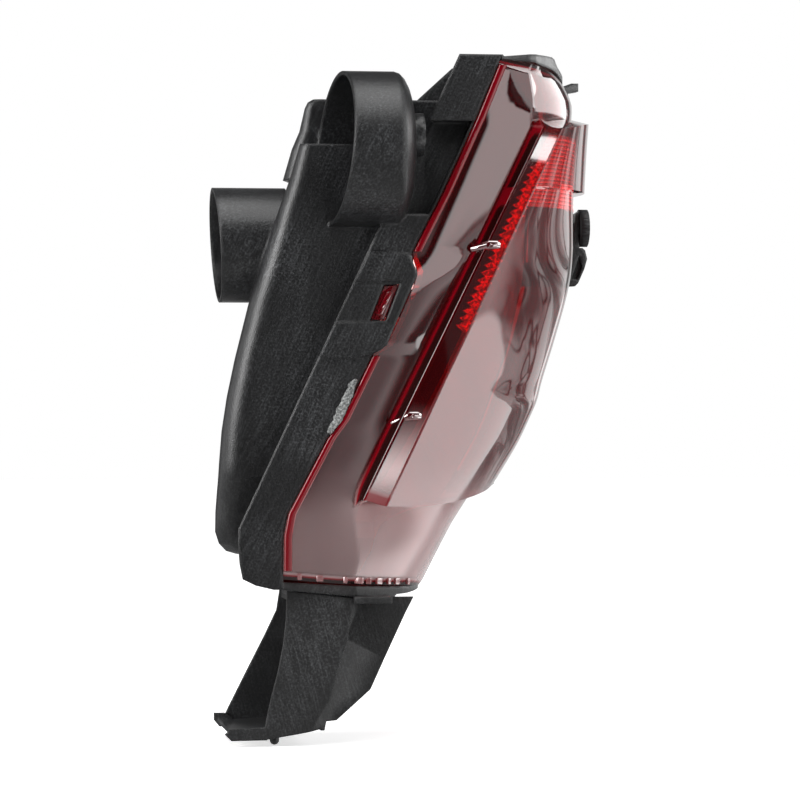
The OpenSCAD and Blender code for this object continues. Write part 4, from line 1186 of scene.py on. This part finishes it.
@dataclass
class ReflexPanel:
    """The panel of cube corners and its toothed edge."""

    pitch_across: float = 1.65
    pitch_down: float = 1.9
    low: float = -36.0
    high: float = -1.0
    columns: int = 56
    gap: float = 3.1
    bump: float = 0.7
    tooth_pitch: float = 3.8
    tooth_low: float = -98.0

    def _place(self, t: float, z: float, d: float) -> Vector:
        """Point on the panel at share t round it and depth d behind the lens."""
        a = FORM.first_turn + 2 + (86 - FORM.first_turn) * t
        f, m = FORM.reach(z, FORM.face) - 4.5 * (1.0 - t) ** 4, FORM.reach(z, FORM.block) + 4.0 * t
        y, b = FORM.block_y + 0.5, math.radians(30 + 60 * t)
        return Vector((f + (m - f) * FORM.gain_x(a) - d * math.sin(b),
            y + (FORM.turn_y - y) * FORM.gain_y(a) + d * math.cos(b), z))

    def panel(self) -> bmesh.types.BMesh:
        """A grid of small corners with a UV unit per corner."""
        bm = bmesh.new()
        rows = round((self.high - self.low) / self.pitch_down)
        nx, ny = 2 * self.columns, 2 * rows
        made = bmesh.ops.create_grid(bm, x_segments=nx, y_segments=ny, size=1.0, calc_uvs=False)["verts"]
        order = sorted(made, key=lambda v: (round(v.co.y, 5), round(v.co.x, 5)))
        cell = {}
        for i in range(ny + 1):
            for k in range(nx + 1):
                v = order[i * (nx + 1) + k]
                depth = self.gap + (self.bump if i % 2 and k % 2 else 0.0)
                v.co = self._place(k / nx, self.low + (self.high - self.low) * i / ny, depth)
                cell[v] = (k / 2, i / 2)
        layer = bm.loops.layers.uv.new("cells")
        for face in bm.faces:
            for loop in face.loops:
                loop[layer].uv = cell[loop.vert]
        return bm

    def teeth(self) -> bmesh.types.BMesh:
        """Two rows of diamond teeth along the block."""
        bm = bmesh.new()
        half = self.tooth_pitch / 2
        lean = FORM.run * half
        for i in range(int((-12 - self.tooth_low) / half)):
            z = self.tooth_low + i * half
            x = FORM.reach(z, FORM.face) - (3.6 if i % 2 else 0.9)
            wide = 3.2 if i % 2 else 2.6
            y = FORM.block_y + self.gap + 1.2
            rim = [(x - wide, y, z), (x - lean, y, z - half), (x + wide, y, z), (x + lean, y, z + half)]
            corners = rim + [(cx, y + 1.4, cz) for cx, cy, cz in rim] + [(x - 0.3, y - 1.5, z)]
            bmesh.ops.convex_hull(bm, input=[bmesh.ops.create_vert(bm, co=c)["vert"][0] for c in corners])
        tidy_hull(bm)
        return bm

    def build(self) -> None:
        """Makes the panel pieces."""
        bm = self.panel()
        bmesh.ops.solidify(bm, geom=bm.faces[:], thickness=-1.2)
        panel = hand_over("reflex_panel", bm, Finish.REFLEX, 20.0)
        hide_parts("reflex_reflector")
        hand_over("reflex_teeth", self.teeth(), Finish.TEETH, 15.0)


@dataclass
class Reflector:
    """The aluminised reflector behind the lens, with its waved skin on the far side."""

    wing_y: float = 94.0
    columns: int = 60
    rows: int = 120

    def skin(self) -> bmesh.types.BMesh:
        """The waved skin in front of the far wing."""
        bm = bmesh.new()
        made = bmesh.ops.create_grid(bm, x_segments=self.columns, y_segments=self.rows, size=1.0)["verts"]
        for v in made:
            u, w = (v.co.x + 1) / 2, (v.co.y + 1) / 2
            z = -198.0 + 198.0 * w
            left = FORM.left_x(z) + 64.0
            right = FORM.reach(z, FORM.base) - 10.0
            x = left + (right - left) * u
            swell = noise.fractal(Vector((x / 26, w * 3.0, 3.1)), 1.0, 2.0, 2)
            v.co = Vector((x, self.wing_y - 3.0 + 2.2 * max(-1.0, min(1.0, swell)), z))
        bmesh.ops.recalc_face_normals(bm, faces=bm.faces)
        bmesh.ops.solidify(bm, geom=bm.faces[:], thickness=0.8)
        return bm

    def build(self) -> None:
        """Makes the reflector pieces."""
        from_node("reflector", "reflector_body", Finish.ALUMINISED)
        hand_over("reflector_skin", self.skin(), Finish.WAVED, 180.0)


class LampPlace(Enum):
    """The two lamps."""

    FOG = "fog"
    TAIL = "tail"


@dataclass
class BulbSet:
    """A lamp with its holder, seal and contacts."""

    place: LampPlace

    def build(self) -> None:
        """Dresses the lamp's nodes."""
        parts = {
            "bulb_glass": (Finish.BULB_GLASS, "bulb_glass"),
            "bulb_cap": (Finish.BULB_CAP, "bulb_cap"),
            "bulb_holder": (Finish.HOLDERS, "holders"),
            "holder_seal": (Finish.SEALS, "seals"),
            "contacts": (Finish.CONTACTS, "contacts"),
        }
        for part, (finish, slot) in parts.items():
            node = f"{self.place.value}_{part}"
            from_node(node, node + "_made", finish)


@dataclass
class BlackParts:
    """The mouldings, seals and fasteners that keep their CAD shape."""

    dressed: tuple[tuple[str, str, Finish, str], ...] = (
        ("trim_mask", "mask_strip", Finish.MASK, "mask"),
        ("sealant_bead", "sealing_compound", Finish.SEALANT, "sealant"),
        ("bracket_screws", "leg_screws", Finish.SCREWS, "screws"),
        ("reflector_screws", "plate_screws", Finish.SCREWS, "screws"),
        ("fixing_bush", "bush", Finish.STEEL, "steel"),
        ("ear_buffer", "buffer_disc", Finish.BUFFER, "buffer"),
        ("vent_cap", "breather_cap", Finish.SEALS, "seals"),
        ("vent_membrane", "breather_film", Finish.MEMBRANE, "membrane"),
    )

    @staticmethod
    def flange() -> bmesh.types.BMesh:
        """The leg's flat flange under the floor of the tray."""
        bm = bmesh.new()
        foot = Matrix.Translation((-26.0, 12.0, -233.7)) @ Matrix.Diagonal((19.0, 40.0, 3.6, 1.0))
        bmesh.ops.create_cube(bm, size=1.0, matrix=foot)
        bmesh.ops.bevel(bm, geom=bm.edges[:], offset=0.5, segments=2, profile=0.5, affect="EDGES", material=-1)
        return bm

    @staticmethod
    def torn_patch() -> bmesh.types.BMesh:
        """The torn patch of compound on the tray, beside the lens."""
        bm = bmesh.new()
        made = bmesh.ops.create_grid(bm, x_segments=14, y_segments=44, size=1.0)["verts"]
        for v in made:
            u, w = v.co.x, v.co.y
            z = -137.5 + 12.5 * w
            wide = (1.0 - abs(w) ** 3) * 1.6
            torn = noise.noise(Vector((0.0 if u < 0 else 7.0, w * 7.0, 1.0))) * 1.1
            rough = noise.fractal(Vector((u * 3.0, w * 12.0, 4.0)), 1.0, 2.0, 3) * 0.5
            x = FORM.reach(z, FORM.rim) - 2.1 - 0.8 * w + u * (wide + torn * abs(u) * 0.8)
            v.co = Vector((x, FORM.side_y - 1.3 - 0.5 * rough + 0.9 * abs(u) ** 4, z))
        bmesh.ops.recalc_face_normals(bm, faces=bm.faces)
        bmesh.ops.solidify(bm, geom=bm.faces[:], thickness=0.9)
        return bm

    def build(self) -> None:
        """Dresses them all."""
        hand_over("leg_flange", self.flange(), Finish.BRACKET, 30.0)
        hand_over("torn_compound", self.torn_patch(), Finish.SEALANT, 60.0)
        from_node("housing", "housing_moulding", Finish.HOUSING, 14.0)
        from_node("bracket", "leg_moulding", Finish.BRACKET, 22.0, weighted=False)
        for node, name, finish, slot in self.dressed:
            from_node(node, name, finish, 32.0)


def main() -> None:
    """Builds the studio and the lamp."""
    logging.basicConfig(level=logging.INFO, format="%(name)s %(message)s")
    Studio().build()
    BlackParts().build()
    Lens().build()
    ReflexPanel().build()
    Reflector().build()
    for place in LampPlace:
        BulbSet(place).build()


if __name__ == "__main__":
    main()
